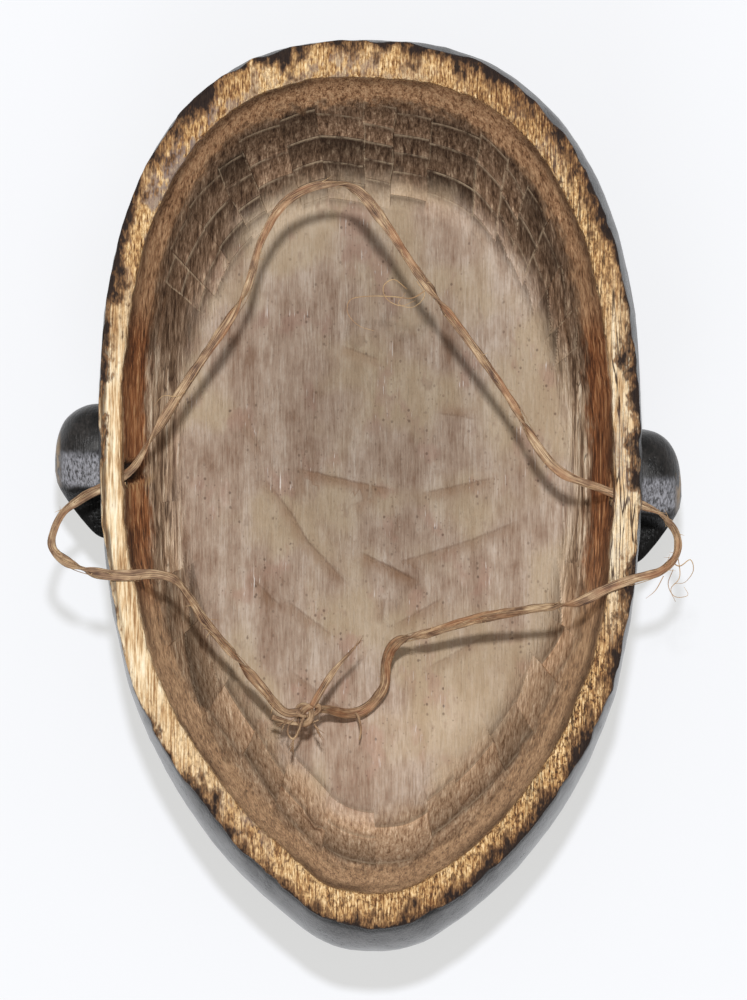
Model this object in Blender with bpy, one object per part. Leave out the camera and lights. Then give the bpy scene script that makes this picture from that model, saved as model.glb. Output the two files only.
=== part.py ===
# Carved wooden monkey mask, lying face down, with its knotted bast cord.
# Metres, +X to the right and +Y to the crown as seen from the hollow side, +Z up out of the hollow.
# The mask rests on its brow and muzzle at Z = 0 and its own box is centred on X = Y = 0.
import math

import bmesh
import bpy
from mathutils import Vector

MM = 0.001

# The shell, seen from the hollow side
RIM_HALF_WIDTH = 83.6 * MM
RIM_CROWN_LENGTH = 129.8 * MM
RIM_CHIN_LENGTH = 144.2 * MM
RIM_HEIGHT = 94 * MM
RIM_ROUNDING = 2.2 * MM
RIM_WIDTH = {"right": 8.5 * MM, "left": 7 * MM, "crown": 11.5 * MM, "chin": 10.5 * MM}
HOLLOW_DEPTH = 62 * MM
FLOOR_DISH = 5 * MM
WALL_RUN = {"right": 14 * MM, "left": 18.5 * MM, "crown": 40 * MM, "chin": 28 * MM}
SIDE_BULGE = 1.5 * MM
CHIN_BULGE = 9.5 * MM
TEMPLE_BULGE = 3 * MM
TEMPLE_ANGLE = 0.9
TEMPLE_SPREAD = 0.5
FACE_LEVEL = 20 * MM
CROWN_LEAN = 2.4 * MM
CENTRE_X = 0.9 * MM
CENTRE_Y = 10.4 * MM

# How full the curves are: 2 is an ellipse, more is squarer; the chin sharpens from its start's share of the
# way down, and rounds off again past its tip's share
CROWN_FULLNESS = 2.5
CHIN_FULLNESS = {"right": 2.12, "left": 2.0}
CHIN_SHARPENING = 0.3
CHIN_START_SHARE = 0.7
CHIN_TIP_SHARE = 0.985
TIP_ROUNDING_SHARE = 0.6
SHELL_FULLNESS = 3.5
WALL_FULLNESS = 1.7
RIM_FULLNESS = 4.0

# How finely the shell is cut into spokes and rings
SPOKES = 84
FLOOR_RINGS = 3
WALL_RINGS = 7
RIM_RINGS = 5
OUTER_RINGS = 28

# The ears, carved in one with the shell
EAR_SPAN = 196.6 * MM
EAR_HEIGHT = 43 * MM
EAR_THICKNESS = 29 * MM
EAR_SEAT = 3.8 * MM
EAR_ROOT = 4.5 * MM
EAR_DROP = 38 * MM
EAR_MIDDLE_Y = {"left": 7.5 * MM, "right": -0.5 * MM}
EAR_FULLNESS = 2.7
EAR_TAPER_SHARE = 0.45
EAR_LOBE_FALL_SHARE = 0.7
EAR_CUP_DEPTH = 8 * MM
EAR_EDGE = 5 * MM
EAR_BASE = RIM_HALF_WIDTH - EAR_SEAT
EAR_REACH = EAR_SPAN / 2 - EAR_BASE

# The two holes for the cord: where each axis meets the inner and the outer wall, as how far in from the
# rim's widest place and how far up
HOLE_DIAMETER = 8 * MM
HOLE_DROP = 13.5 * MM
HOLE_OVERRUN = 8 * MM
HOLE_INSIDE = {"left": (10.1 * MM, 7.6 * MM), "right": (11.4 * MM, 2.0 * MM)}
HOLE_OUTSIDE = {"left": (1.8 * MM, 2.6 * MM), "right": (0, -2.6 * MM)}

# The bast cord; its knot's middle and its routes are millimetres, the last one up from the rim's top
CORD_DIAMETER = 3.8 * MM
TAIL_DIAMETER = 2.8 * MM
TOUCH_GAP = 0.3 * MM
CORD_STEP = 8 * MM
KNOT_CENTRE = (-19.1, -67.7, -34)
KNOT_SIZE = (10 * MM, 9 * MM, 8 * MM)

# The cord's route from the knot, out over the left rim, back in by the left hole, across the hollow,
# out by the right hole, in over the right rim and back to the knot
CORD_ROUTE = (
    (-26.6, -67.6, -30.5), (-33.1, -60.3, -26), (-41.1, -50.5, -20), (-49.6, -40.4, -13),
    (-55.6, -31.3, -5.5), (-59.8, -26, 0), (-66.5, -24.4, 2.6), (-73.9, -24.8, 2.6),
    (-81.3, -24.5, 2.6), (-90, -22, 0.5), (-96.2, -18, -2), (-97.6, -13.4, -4.5), (-94.6, -6, -8),
    (-88.6, -1.1, -11.5), (-81.8, 2.6, -13.5), (-73.5, 7.6, -13.5), (-67.5, 16.9, -12),
    (-56, 35.1, -9.5), (-44.2, 52.1, -7.5), (-37.4, 64.1, -6), (-32.8, 78.5, -4), (-25.9, 89.9, -2.5),
    (-15.5, 95.4, -2), (-4.4, 94.5, -2), (4.9, 84, -3), (15.4, 68.4, -5), (30.6, 48.4, -8),
    (43.3, 30.5, -11), (52.6, 15, -13.5), (60.1, 6.7, -14.2), (72.2, 2, -13.7), (83.6, -2.6, -13.5),
    (90.4, -6, -12), (95.2, -11.9, -8), (95, -18.7, -3.5), (89.9, -23.6, 0.5), (82.4, -25.7, 2.6),
    (73.8, -28.8, 2.6), (63.8, -33.4, -1.5), (50.1, -35.4, -11.5), (34.2, -38.4, -23), (19.3, -43, -33),
    (9.3, -46.2, -39.5), (5.9, -52, -45.5), (5, -60.5, -50.5), (-0.1, -67, -54), (-6, -69, -52.5),
    (-12.4, -67.4, -43.5),
)
TAIL_ROUTE = ((-15, -61.5, -30.4), (-10.5, -54.6, -28), (-3.9, -47.2, -25.5))

# Blender colours and roughness of each material
WOOD_COLOUR = (0.36, 0.27, 0.19, 1)
BAST_COLOUR = (0.30, 0.19, 0.10, 1)


def smooth_step(low, high, value):
    share = min(max((value - low) / (high - low), 0), 1)
    return share * share * (3 - 2 * share)


def bump(across, along, half_width, half_length, steepness=1):
    return math.exp(-((across / half_width) ** 2 + (along / half_length) ** 2) ** steepness)


def full_curve(turn, fullness):
    # A point of the squared circle |x|^n + |y|^n = 1, at an angle from its upright axis
    east, north = math.sin(turn), math.cos(turn)
    size = (abs(east) ** fullness + abs(north) ** fullness) ** (-1 / fullness)
    return east * size, north * size


def by_side(values, angle):
    east, north = math.cos(angle), math.sin(angle)
    return (values["right"] * max(east, 0) ** 2 + values["left"] * max(-east, 0) ** 2
            + values["crown"] * max(north, 0) ** 2 + values["chin"] * max(-north, 0) ** 2)


def rim_radius(angle):
    # An egg: a full curve over the crown and one that sharpens towards the chin
    east, north = math.cos(angle), math.sin(angle)
    if north >= 0:
        length, fullness = RIM_CROWN_LENGTH, CROWN_FULLNESS
    else:
        length = RIM_CHIN_LENGTH
        jaw_side = "right" if east > 0 else "left"
        fullness = CHIN_FULLNESS[jaw_side]
        towards_tip = max(0, -north - CHIN_START_SHARE) / (1 - CHIN_START_SHARE)
        rounding = TIP_ROUNDING_SHARE * smooth_step(CHIN_TIP_SHARE, 1, -north)
        fullness -= CHIN_SHARPENING * towards_tip * (1 - rounding)
    return (abs(east / RIM_HALF_WIDTH) ** fullness + abs(north / length) ** fullness) ** (-1 / fullness)


def rim_width(angle):
    return by_side(RIM_WIDTH, angle)


def side_bulge(angle):
    # The chin stands out below the rim, and the right temple a little more than the left one
    off_temple = math.atan2(math.sin(angle - TEMPLE_ANGLE), math.cos(angle - TEMPLE_ANGLE))
    return (SIDE_BULGE + CHIN_BULGE * max(-math.sin(angle), 0) ** 4
            + TEMPLE_BULGE * math.exp(-(off_temple / TEMPLE_SPREAD) ** 2))


def inner_point(angle, floor_share, wall_share):
    # Radius and height on the hollow's floor (floor_share 0 to 1) or up its wall (wall_share 0 to 1)
    rim_inside = rim_radius(angle) - rim_width(angle)
    wall_run = by_side(WALL_RUN, angle)
    foot = rim_inside - wall_run
    floor_middle = RIM_HEIGHT - HOLLOW_DEPTH
    run, fall = full_curve(wall_share * math.pi / 2, WALL_FULLNESS)
    radius = foot * floor_share + wall_run * run
    wall_rise = RIM_HEIGHT - RIM_ROUNDING - floor_middle - FLOOR_DISH * (rim_inside / foot) ** 2
    return radius, floor_middle + FLOOR_DISH * (radius / foot) ** 2 + wall_rise * (1 - fall)


def rim_point(angle, share):
    # Across the rounded rim, from its inner edge (0) to its outer edge (1)
    outside, width = rim_radius(angle), rim_width(angle)
    reach, rise = full_curve((share - 0.5) * math.pi, RIM_FULLNESS)
    return outside - width / 2 * (1 - reach), RIM_HEIGHT - RIM_ROUNDING * (1 - rise)


def outer_point(angle, share):
    # Down the outside, from the rim (0) to the middle of the face (1), in closer steps over the face
    left = 1 - share
    spread, drop = full_curve((0.7 * left + 0.3 * left ** 3) * math.pi / 2, SHELL_FULLNESS)
    radius = rim_radius(angle) * spread + side_bulge(angle) * 4 * drop * (1 - drop) * spread
    return radius, RIM_HEIGHT - RIM_ROUNDING - (RIM_HEIGHT - RIM_ROUNDING - FACE_LEVEL) * drop, drop


def face_relief(x, y):
    # How far the carved features stand out of the face, as a share of the way down to the ground; places are
    # shares of its half width and crown length
    across = (x - CENTRE_X) / RIM_HALF_WIDTH
    up = y / RIM_CROWN_LENGTH
    side = abs(across)
    forehead = 0.50 * bump(across, up - 0.66, 0.66, 0.34, 1.6)
    brow_line = up - 0.36 + 0.20 * side ** 2
    brow = (0.80 + 0.34 * math.exp(-((side - 0.36) / 0.16) ** 2)) * bump(0, brow_line, 1, 0.105)
    brow *= 1 - smooth_step(0.50, 0.85, side)
    socket = -0.26 * bump(side - 0.38, up - 0.15, 0.25, 0.12, 1.6)
    eye = 0.44 * bump(side - 0.37, up - 0.145, 0.135, 0.075, 2)
    nose_half = 0.095 + 0.06 * smooth_step(0.2, -0.1, up)
    bridge = 0.46 * bump(across, 0, nose_half, 1, 1.5) * smooth_step(-0.22, -0.10, up)
    bridge *= 1 - smooth_step(0.24, 0.36, up)
    nostrils = 0.22 * bump(side - 0.13, up + 0.10, 0.10, 0.065, 1.4)
    snout = (across / 0.52) ** 2 + ((up + 0.52) / 0.37) ** 2
    muzzle = max(1.03 - 0.32 * snout, 0) * math.exp(-0.5 * snout ** 2.5)
    mouth_line = up + 0.69 - 0.34 * across ** 2
    mouth = -0.24 * bump(0, mouth_line, 1, 0.034, 1.4) * (1 - smooth_step(0.34, 0.48, side))
    cheek = 0.20 * bump(side - 0.62, up + 0.08, 0.20, 0.22)
    chin = 0.30 * bump(across, up + 0.93, 0.34, 0.12)
    return max(forehead, brow, muzzle) + socket + eye + bridge + nostrils + mouth + cheek + chin


def shell_point(angle, depth_share):
    # depth_share runs over the whole skin: 0 at the middle of the floor, 1 at the middle of the face
    rings = FLOOR_RINGS + WALL_RINGS + RIM_RINGS + OUTER_RINGS
    ring = depth_share * rings
    front = 0
    if ring <= FLOOR_RINGS:
        radius, height = inner_point(angle, ring / FLOOR_RINGS, 0)
    elif ring <= FLOOR_RINGS + WALL_RINGS:
        radius, height = inner_point(angle, 1, (ring - FLOOR_RINGS) / WALL_RINGS)
    elif ring <= FLOOR_RINGS + WALL_RINGS + RIM_RINGS:
        radius, height = rim_point(angle, (ring - FLOOR_RINGS - WALL_RINGS) / RIM_RINGS)
    else:
        share = (ring - FLOOR_RINGS - WALL_RINGS - RIM_RINGS) / OUTER_RINGS
        radius, height, drop = outer_point(angle, min(share, 1))
        front = smooth_step(0.45, 0.85, drop)
    x = CENTRE_X + radius * math.cos(angle)
    y = CENTRE_Y + radius * math.sin(angle)
    x -= CROWN_LEAN * max(y, 0) / RIM_CROWN_LENGTH
    if front > 0:
        height = max(height * (1 - front * face_relief(x, y)), 0)
    return Vector((x, y, height))


def new_object(name, mesh, collection):
    placed = bpy.data.objects.new(name, mesh)
    collection.objects.link(placed)
    placed.parent = centre_empty
    return placed


def mesh_from(bm, name):
    bmesh.ops.recalc_face_normals(bm, faces=bm.faces)
    mesh = bpy.data.meshes.new(name)
    bm.to_mesh(mesh)
    bm.free()
    mesh.shade_smooth()
    return mesh


def plain_material(name, colour, roughness):
    material = bpy.data.materials.new(name)
    material.use_nodes = True
    shader = material.node_tree.nodes["Principled BSDF"]
    shader.inputs["Base Color"].default_value = colour
    shader.inputs["Roughness"].default_value = roughness
    shader.inputs["Metallic"].default_value = 0
    return material


def make_shell():
    rings = FLOOR_RINGS + WALL_RINGS + RIM_RINGS + OUTER_RINGS
    bm = bmesh.new()
    bmesh.ops.create_uvsphere(bm, u_segments=SPOKES, v_segments=rings, radius=1)
    for vertex in bm.verts:
        direction = vertex.co.normalized()
        angle = math.atan2(direction.y, direction.x)
        vertex.co = shell_point(angle, math.acos(max(-1, min(1, direction.z))) / math.pi)
    bmesh.ops.triangulate(bm, faces=bm.faces)
    shell = new_object("mask", mesh_from(bm, "mask"), part_collection)
    shell.data.materials.append(plain_material("carved wood", WOOD_COLOUR, 0.6))
    return shell


def make_ear(side, direction):
    # A full D-shaped lobe; its back is flat above and falls away below, its front is cupped
    bm = bmesh.new()
    bmesh.ops.create_uvsphere(bm, u_segments=20, v_segments=12, radius=1)
    for vertex in bm.verts:
        outward, up, back = (math.copysign(abs(share) ** (2 / EAR_FULLNESS), share) for share in vertex.co)
        reach = EAR_REACH * (1 - EAR_TAPER_SHARE * smooth_step(0, -1, up)) if outward > 0 else EAR_ROOT
        lobe_line = -0.05 - 0.35 * outward
        fall = EAR_LOBE_FALL_SHARE * smooth_step(lobe_line, lobe_line - 0.35, up) if back > 0 else 0
        vertex.co = (direction * outward * reach, up * EAR_HEIGHT / 2, back * (1 - fall) * EAR_THICKNESS / 2)
    ear = new_object("ear_" + side, mesh_from(bm, "ear_" + side), cutter_collection)
    ear.location = (direction * EAR_BASE, EAR_MIDDLE_Y[side], RIM_HEIGHT - EAR_DROP)
    return ear


def make_ear_cup(side, direction):
    bm = bmesh.new()
    bmesh.ops.create_uvsphere(bm, u_segments=14, v_segments=8, radius=1)
    for vertex in bm.verts:
        vertex.co.x *= EAR_REACH / 2 - EAR_EDGE / 2
        vertex.co.y *= EAR_HEIGHT / 2 - EAR_EDGE
        vertex.co.z *= EAR_CUP_DEPTH
    cup = new_object("ear_cup_" + side, mesh_from(bm, "ear_cup_" + side), cutter_collection)
    cup.location = (direction * (EAR_BASE + EAR_REACH / 2 - EAR_EDGE / 2), EAR_MIDDLE_Y[side],
                    RIM_HEIGHT - EAR_DROP - EAR_THICKNESS / 2)
    return cup


def wall_place(side, direction, places):
    inset, up = places[side]
    return Vector((direction * (RIM_HALF_WIDTH - inset), up, RIM_HEIGHT - HOLE_DROP))


def make_hole(side, direction):
    inside = wall_place(side, direction, HOLE_INSIDE)
    outside = wall_place(side, direction, HOLE_OUTSIDE)
    axis = (outside - inside).normalized()
    length = (outside - inside).length + 2 * HOLE_OVERRUN
    bpy.ops.mesh.primitive_cylinder_add(vertices=16, radius=HOLE_DIAMETER / 2, depth=length)
    hole = bpy.context.object
    hole.name = "cord_hole_" + side
    for collection in hole.users_collection:
        collection.objects.unlink(hole)
    cutter_collection.objects.link(hole)
    hole.parent = centre_empty
    hole.location = (inside + outside) / 2
    hole.rotation_euler = axis.to_track_quat("Z", "Y").to_euler()
    return hole


def combine(target, other, operation):
    modifier = target.modifiers.new(other.name, "BOOLEAN")
    modifier.operation = operation
    modifier.object = other
    modifier.solver = "EXACT"
    other.hide_render = True
    other.display_type = "WIRE"


def smooth_curve(route, step):
    # Catmull-Rom through the chosen points, cut into pieces no longer than about one step
    ends = [route[0] * 2 - route[1]] + route + [route[-1] * 2 - route[-2]]
    points = []
    for before, start, end, after in zip(ends, ends[1:], ends[2:], ends[3:]):
        pieces = max(1, round((end - start).length / step))
        for piece in range(pieces):
            t = piece / pieces
            points.append(0.5 * (2 * start + (end - before) * t
                                 + (2 * before - 5 * start + 4 * end - after) * t ** 2
                                 + (3 * start - before - 3 * end + after) * t ** 3))
    return points + [route[-1]]


def from_rim(point):
    return Vector(point) * MM + Vector((0, 0, RIM_HEIGHT))


def beside_knot(towards, clearance):
    # The point where a strand that runs to the knot's middle stops just clear of it
    centre = from_rim(KNOT_CENTRE)
    aim = (towards - centre).normalized()
    squeeze = sum((aim[axis] * 2 / KNOT_SIZE[axis]) ** 2 for axis in range(3)) ** -0.5
    return centre + aim * (squeeze + clearance)


def make_strand(name, points, diameter, material):
    curve = bpy.data.curves.new(name, "CURVE")
    curve.dimensions = "3D"
    curve.bevel_depth = diameter / 2
    curve.bevel_resolution = 2
    curve.use_fill_caps = True
    spline = curve.splines.new("POLY")
    spline.points.add(len(points) - 1)
    for place, point in zip(spline.points, points):
        place.co = (*point, 1)
    strand = new_object(name, curve, part_collection)
    curve.materials.append(material)
    return strand


def make_knot(material):
    bm = bmesh.new()
    bmesh.ops.create_uvsphere(bm, u_segments=12, v_segments=8, radius=0.5)
    for vertex in bm.verts:
        for axis in range(3):
            vertex.co[axis] *= KNOT_SIZE[axis]
    bmesh.ops.triangulate(bm, faces=bm.faces)
    knot = new_object("cord_knot", mesh_from(bm, "cord_knot"), part_collection)
    knot.location = from_rim(KNOT_CENTRE)
    knot.data.materials.append(material)


def make_cord():
    bast = plain_material("bast", BAST_COLOUR, 0.8)
    route = [from_rim(point) for point in CORD_ROUTE]
    start, end = beside_knot(route[0], TOUCH_GAP), beside_knot(route[-1], TOUCH_GAP)
    make_strand("cord", smooth_curve([start] + route + [end], CORD_STEP), CORD_DIAMETER, bast)
    tail = [from_rim(point) for point in TAIL_ROUTE]
    tail_start = beside_knot(tail[0], TOUCH_GAP)
    make_strand("cord_tail", smooth_curve([tail_start] + tail, CORD_STEP), TAIL_DIAMETER, bast)
    make_knot(bast)


def centre_on_mask():
    # The reference point is under the middle of the mask's own box, cord left out
    bpy.context.view_layer.update()
    finished = mask.evaluated_get(bpy.context.evaluated_depsgraph_get())
    corners = [mask.matrix_world @ Vector(corner) for corner in finished.bound_box]
    for axis in (0, 1):
        values = [corner[axis] for corner in corners]
        centre_empty.location[axis] = -(min(values) + max(values)) / 2


for old in list(bpy.data.objects):
    bpy.data.objects.remove(old, do_unlink=True)

part_collection = bpy.data.collections.new("monkey mask")
cutter_collection = bpy.data.collections.new("cutters")
bpy.context.scene.collection.children.link(part_collection)
bpy.context.scene.collection.children.link(cutter_collection)
centre_empty = bpy.data.objects.new("mask centre", None)
part_collection.objects.link(centre_empty)

mask = make_shell()
for ear_side, ear_direction in (("left", -1), ("right", 1)):
    combine(mask, make_ear(ear_side, ear_direction), "UNION")
    combine(mask, make_ear_cup(ear_side, ear_direction), "DIFFERENCE")
    combine(mask, make_hole(ear_side, ear_direction), "DIFFERENCE")
make_cord()
centre_on_mask()
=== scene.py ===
import bisect
import math
import random

import bmesh
import bpy
from mathutils import Matrix, Vector, noise
from mathutils.kdtree import KDTree


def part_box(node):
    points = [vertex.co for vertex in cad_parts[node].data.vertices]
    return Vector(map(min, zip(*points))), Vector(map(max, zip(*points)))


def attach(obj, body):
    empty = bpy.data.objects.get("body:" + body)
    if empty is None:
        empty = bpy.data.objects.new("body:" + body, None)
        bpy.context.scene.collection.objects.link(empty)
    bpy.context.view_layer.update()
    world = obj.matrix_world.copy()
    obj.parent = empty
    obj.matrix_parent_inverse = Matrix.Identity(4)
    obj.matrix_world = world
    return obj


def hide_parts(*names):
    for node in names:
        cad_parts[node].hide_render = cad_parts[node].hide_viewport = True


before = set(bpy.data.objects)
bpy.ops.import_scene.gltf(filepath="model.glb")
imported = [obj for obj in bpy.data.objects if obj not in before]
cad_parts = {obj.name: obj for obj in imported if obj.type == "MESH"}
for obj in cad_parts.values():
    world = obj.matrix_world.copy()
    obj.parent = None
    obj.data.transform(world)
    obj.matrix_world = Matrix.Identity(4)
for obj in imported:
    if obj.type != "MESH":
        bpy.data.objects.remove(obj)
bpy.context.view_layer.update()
mm = 0.001

# The knot's middle, counted from the rim's top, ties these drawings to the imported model
knotMiddle = Vector((-19.1, -67.7, -34))
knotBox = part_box("cord_knot")
rimPlace = (knotBox[0] + knotBox[1]) / 2 / mm - knotMiddle


def smoothStep(low, high, value):
    share = min(max((value - low) / (high - low), 0), 1)
    return share * share * (3 - 2 * share)


def bell(value, width):
    return math.exp(-(value / width) ** 2)


def bump(across, along, halfWidth, halfLength, steepness=1):
    return math.exp(-((across / halfWidth) ** 2 + (along / halfLength) ** 2) ** steepness)


def wave(x, y, z=0):
    return noise.noise(Vector((x, y, z)))


def drawVector(draw, *ranges):
    return Vector([draw.uniform(low, high) for low, high in ranges])


def addPiece(name, mesh, slot, *nodes):
    piece = bpy.data.objects.new(name, mesh)
    bpy.context.scene.collection.objects.link(piece)
    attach(piece, "root")
    if nodes:
        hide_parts(*nodes)
    return piece


# The camera looks straight down into the hollow
cameraSpec = {"place": (1.65, -0.97, 2294), "lens": 257.1, "sensor": 36}


def placeCamera():
    lens = bpy.data.cameras.new("camera")
    lens.lens = cameraSpec["lens"]
    lens.sensor_width = cameraSpec["sensor"]
    lens.clip_end = 20
    camera = bpy.data.objects.new("camera", lens)
    camera.location = Vector(cameraSpec["place"]) * mm
    bpy.context.scene.collection.objects.link(camera)
    bpy.context.scene.camera = camera
    print("camera placed")


# The bast: one flat strip, twisted by hand; places are counted from the rim's top
bast = {
    "width": 2.75, "thickness": 0.95, "sides": 18, "ringStep": 1.0, "restingShare": 0.42,
    "fibreThickness": 0.30, "fibreSides": 5, "hairs": 240, "hairThickness": 0.20, "seed": 5,
    "flips": (0.05, 0.165, 0.27, 0.36, 0.45, 0.53, 0.61, 0.70, 0.80, 0.90), "flipLength": 0.028,
    "tailWidth": 2.1, "tailThickness": 0.9, "tailHairs": 5, "knotWidth": 1.9, "knotThickness": 1.0,
    "knotScale": (1.2, 1.15, 1.6), "endWidths": {"underpass": 2.0, "smallLoop": 1.1, "foldEnd": 1.0},
    "endThickness": 0.8, "brushHairs": 7, "brushThickness": 0.4, "brushSpread": 1.3,
    # Loose strands that wind round the strip: thickness, distance from its middle, turn length, start
    "strands": ((0.36, 1.15, 95, 0.0), (0.26, 1.35, -130, 1.9), (0.22, 1.5, 160, 4.2)),
    "route": (
        (-21.5, -68.2, -33), (-26.6, -67.6, -30.5), (-33.1, -60.3, -26), (-41.1, -50.5, -20),
        (-49.6, -40.4, -13), (-55.6, -31.3, -5.5), (-59.8, -26, 0), (-66.5, -24.4, 2.6),
        (-73.9, -24.8, 2.6), (-81.3, -24.5, 2.6), (-90, -22, 0.5), (-96.2, -18, -2),
        (-97.6, -13.4, -4.5), (-94.6, -6, -8), (-88.6, -1.1, -11.5), (-81.8, 2.6, -13.5),
        (-73.5, 7.6, -13.5), (-67.5, 16.9, -12), (-56, 35.1, -9.5), (-44.2, 52.1, -7.5),
        (-37.4, 64.1, -6), (-32.8, 78.5, -4), (-25.9, 89.9, -2.5), (-15.5, 95.4, -2),
        (-4.4, 94.5, -2), (4.9, 84, -3), (15.4, 68.4, -5), (30.6, 48.4, -8), (43.3, 30.5, -11),
        (52.6, 15, -13.5), (60.1, 6.7, -14.2), (72.2, 2, -13.7), (83.6, -2.6, -13.5),
        (90.4, -6, -12), (95.2, -11.9, -8), (95, -18.7, -3.5), (89.9, -23.6, 0.5),
        (82.4, -25.7, 2.6), (73.8, -28.8, 2.6), (63.8, -33.4, -1.5), (50.1, -35.4, -11.5),
        (34.2, -38.4, -23), (19.3, -43, -33), (9.3, -46.2, -39.5), (5.9, -52, -45.5),
        (5, -60.5, -50.5), (-0.1, -67, -54), (-6, -69, -52.5), (-12.4, -67.4, -43.5),
        (-16.4, -67.2, -37),
    ),
    "tail": ((-17.6, -66, -32), (-15, -61.5, -30.4), (-10.5, -54.6, -28), (-3.9, -47.2, -25.5)),
    "underpass": ((-30, -69.3, -32), (-24.5, -71.2, -35), (-19.5, -71.8, -37), (-15.5, -70.5, -36)),
    "smallLoop": ((-20.2, -69.5, -33), (-21.6, -73.5, -33.5), (-23.4, -76.4, -34.5), (-25.2, -74.6, -35),
                  (-24.4, -71.4, -34.5), (-20.8, -68.4, -34)),
    "foldEnd": ((-4, -68.6, -50.5), (-2.9, -70.6, -49.5), (-2.3, -74, -49), (-2.8, -77.2, -49.5)),
    "brushEnds": (((-25.4, -70.6, -33.5), (-27.6, -72.8, -33)), ((-23.3, -75.8, -34.5), (-23.8, -80, -35)),
                  ((-17, -71.6, -35.5), (-14.6, -75.6, -36))),
    "curls": (
        ((12, 63.5, -5), (8, 66.4, -3), (4.8, 64.4, -3.6), (5.6, 60.6, -5), (10, 58.4, -6),
         (14.6, 60, -5.5)),
        ((15, 66, -5), (17.4, 61.6, -4), (14, 58, -5), (9.4, 59, -6), (11.6, 62.4, -5)),
        ((17.6, 63, -5.5), (13.4, 60.8, -8), (7.6, 61.4, -12), (0.6, 61.6, -14), (-5.4, 60.6, -16),
         (-6.4, 56.6, -18), (-3, 52.6, -18), (2.2, 50.8, -17)),
        ((-56.6, 32, -9.8), (-59.4, 30.4, -8.6), (-63.4, 30.6, -8.4), (-66.4, 27.4, -9.4)),
        ((93, -20, -2), (96, -22, -3), (99.4, -20, -4), (100.4, -23.4, -5), (97.8, -27, -5),
         (94.4, -27.4, -4)),
        ((94, -23, -1), (92.5, -27.6, -2), (94.6, -31.4, -3), (98.6, -31, -3), (97.4, -28.4, -2)),
        ((91, -25, 0), (88.6, -29.4, -1), (85.6, -32, -2)),
        ((95, -16, -4), (96.2, -25, -4), (93.4, -29, -3), (94.8, -33, -3)),
    ),
}


def smoothCurve(route, step):
    # Catmull-Rom through given points, cut finer than one step
    route = [Vector(point) for point in route]
    ends = [route[0] * 2 - route[1]] + route + [route[-1] * 2 - route[-2]]
    points = []
    for before, start, end, after in zip(ends, ends[1:], ends[2:], ends[3:]):
        pieces = max(2, math.ceil((end - start).length / step))
        for piece in range(pieces):
            t = piece / pieces
            points.append(0.5 * (2 * start + (end - before) * t
                                 + (2 * before - 5 * start + 4 * end - after) * t ** 2
                                 + (3 * start - before - 3 * end + after) * t ** 3))
    return points + [route[-1]]


def layOnRim(points):
    # The flat strip lies lower on the rim than the round solid that stands for it
    return [Vector((p.x, p.y, p.z * bast["restingShare"] if p.z > 0 else p.z)) + rimPlace for p in points]


def pathFrames(points):
    # Each point with its sideways and upward directions and the length walked so far
    frames, walked = [], 0
    for index, point in enumerate(points):
        before, after = points[max(index - 1, 0)], points[min(index + 1, len(points) - 1)]
        walked += (point - before).length
        forward = (after - before).normalized()
        aside = forward.cross(Vector((0, 0, 1)))
        aside = aside.normalized() if aside.length > 0.05 else Vector((1, 0, 0))
        frames.append((point, aside, aside.cross(forward), walked))
    return frames


def addStrip(bm, uvLayer, points, width, thickness, sides, flips=(), taper=(1, 1), seed=0.0):
    # A flat grooved strip along the points; taper gives the share of its width at both ends
    frames = pathFrames(points)
    length = frames[-1][3]
    rings = []
    halfFlip = bast["flipLength"] / 2
    for point, aside, above, walked in frames:
        share = walked / length
        turn = 0.55 * wave(walked / 38, seed, 3.1) + 0.3 * wave(walked / 11, seed, 8.4)
        turn += math.pi * sum(smoothStep(flip - halfFlip, flip + halfFlip, share) for flip in flips)
        ends = taper[0] + (1 - taper[0]) * min(share / 0.3, 1)
        ends *= taper[1] + (1 - taper[1]) * min((1 - share) / 0.6, 1)
        uneven = 1 + 0.5 * wave(walked / 24, seed, 1.7) + 0.16 * wave(walked / 5, seed, 5)
        halfWidth = width / 2 * ends * uneven
        halfThick = thickness / 2 * math.sqrt(ends) * (1 + 0.35 * wave(walked / 13, seed, 9.2))
        drift = walked / 40 + 1.4 * wave(walked / 18, seed, 4.4)
        ring = []
        for side in range(sides):
            around = 2 * math.pi * side / sides
            ridge = 1 + 0.07 * math.cos(5 * around + drift) + 0.05 * math.cos(8 * around - 1.4 * drift)
            ridge += 0.08 * wave(math.cos(around) * 3, math.sin(around) * 3, walked / 4 + seed)
            x = math.cos(around) * halfWidth * ridge
            y = math.sin(around) * halfThick * ridge
            groove = bell(x - 0.25 * halfWidth * math.sin(walked / 14), 0.3 * halfWidth + 0.05)
            y -= 0.35 * halfThick * groove * (1 if y > 0 else 0)
            lean = x * math.cos(turn) - y * math.sin(turn)
            rise = x * math.sin(turn) + y * math.cos(turn)
            ring.append((bm.verts.new((point + aside * lean + above * rise) * mm), side / sides, walked))
        rings.append(ring)
    for ringA, ringB in zip(rings, rings[1:]):
        for side in range(sides):
            after = (side + 1) % sides
            corners = (ringA[side], ringA[after], ringB[after], ringB[side])
            face = bm.faces.new([corner[0] for corner in corners])
            for loop, corner in zip(face.loops, corners):
                u = 1.0 if after == 0 and corner[1] == 0 else corner[1]
                loop[uvLayer].uv = (u, corner[2] / 100 + seed)
    bm.faces.new([corner[0] for corner in reversed(rings[0])])
    bm.faces.new([corner[0] for corner in rings[-1]])
    return length


def addFibre(bm, uvLayer, points, thickness, seed):
    addStrip(bm, uvLayer, points, thickness, thickness * 0.9, bast["fibreSides"], taper=(1, 0.35), seed=seed)


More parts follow.
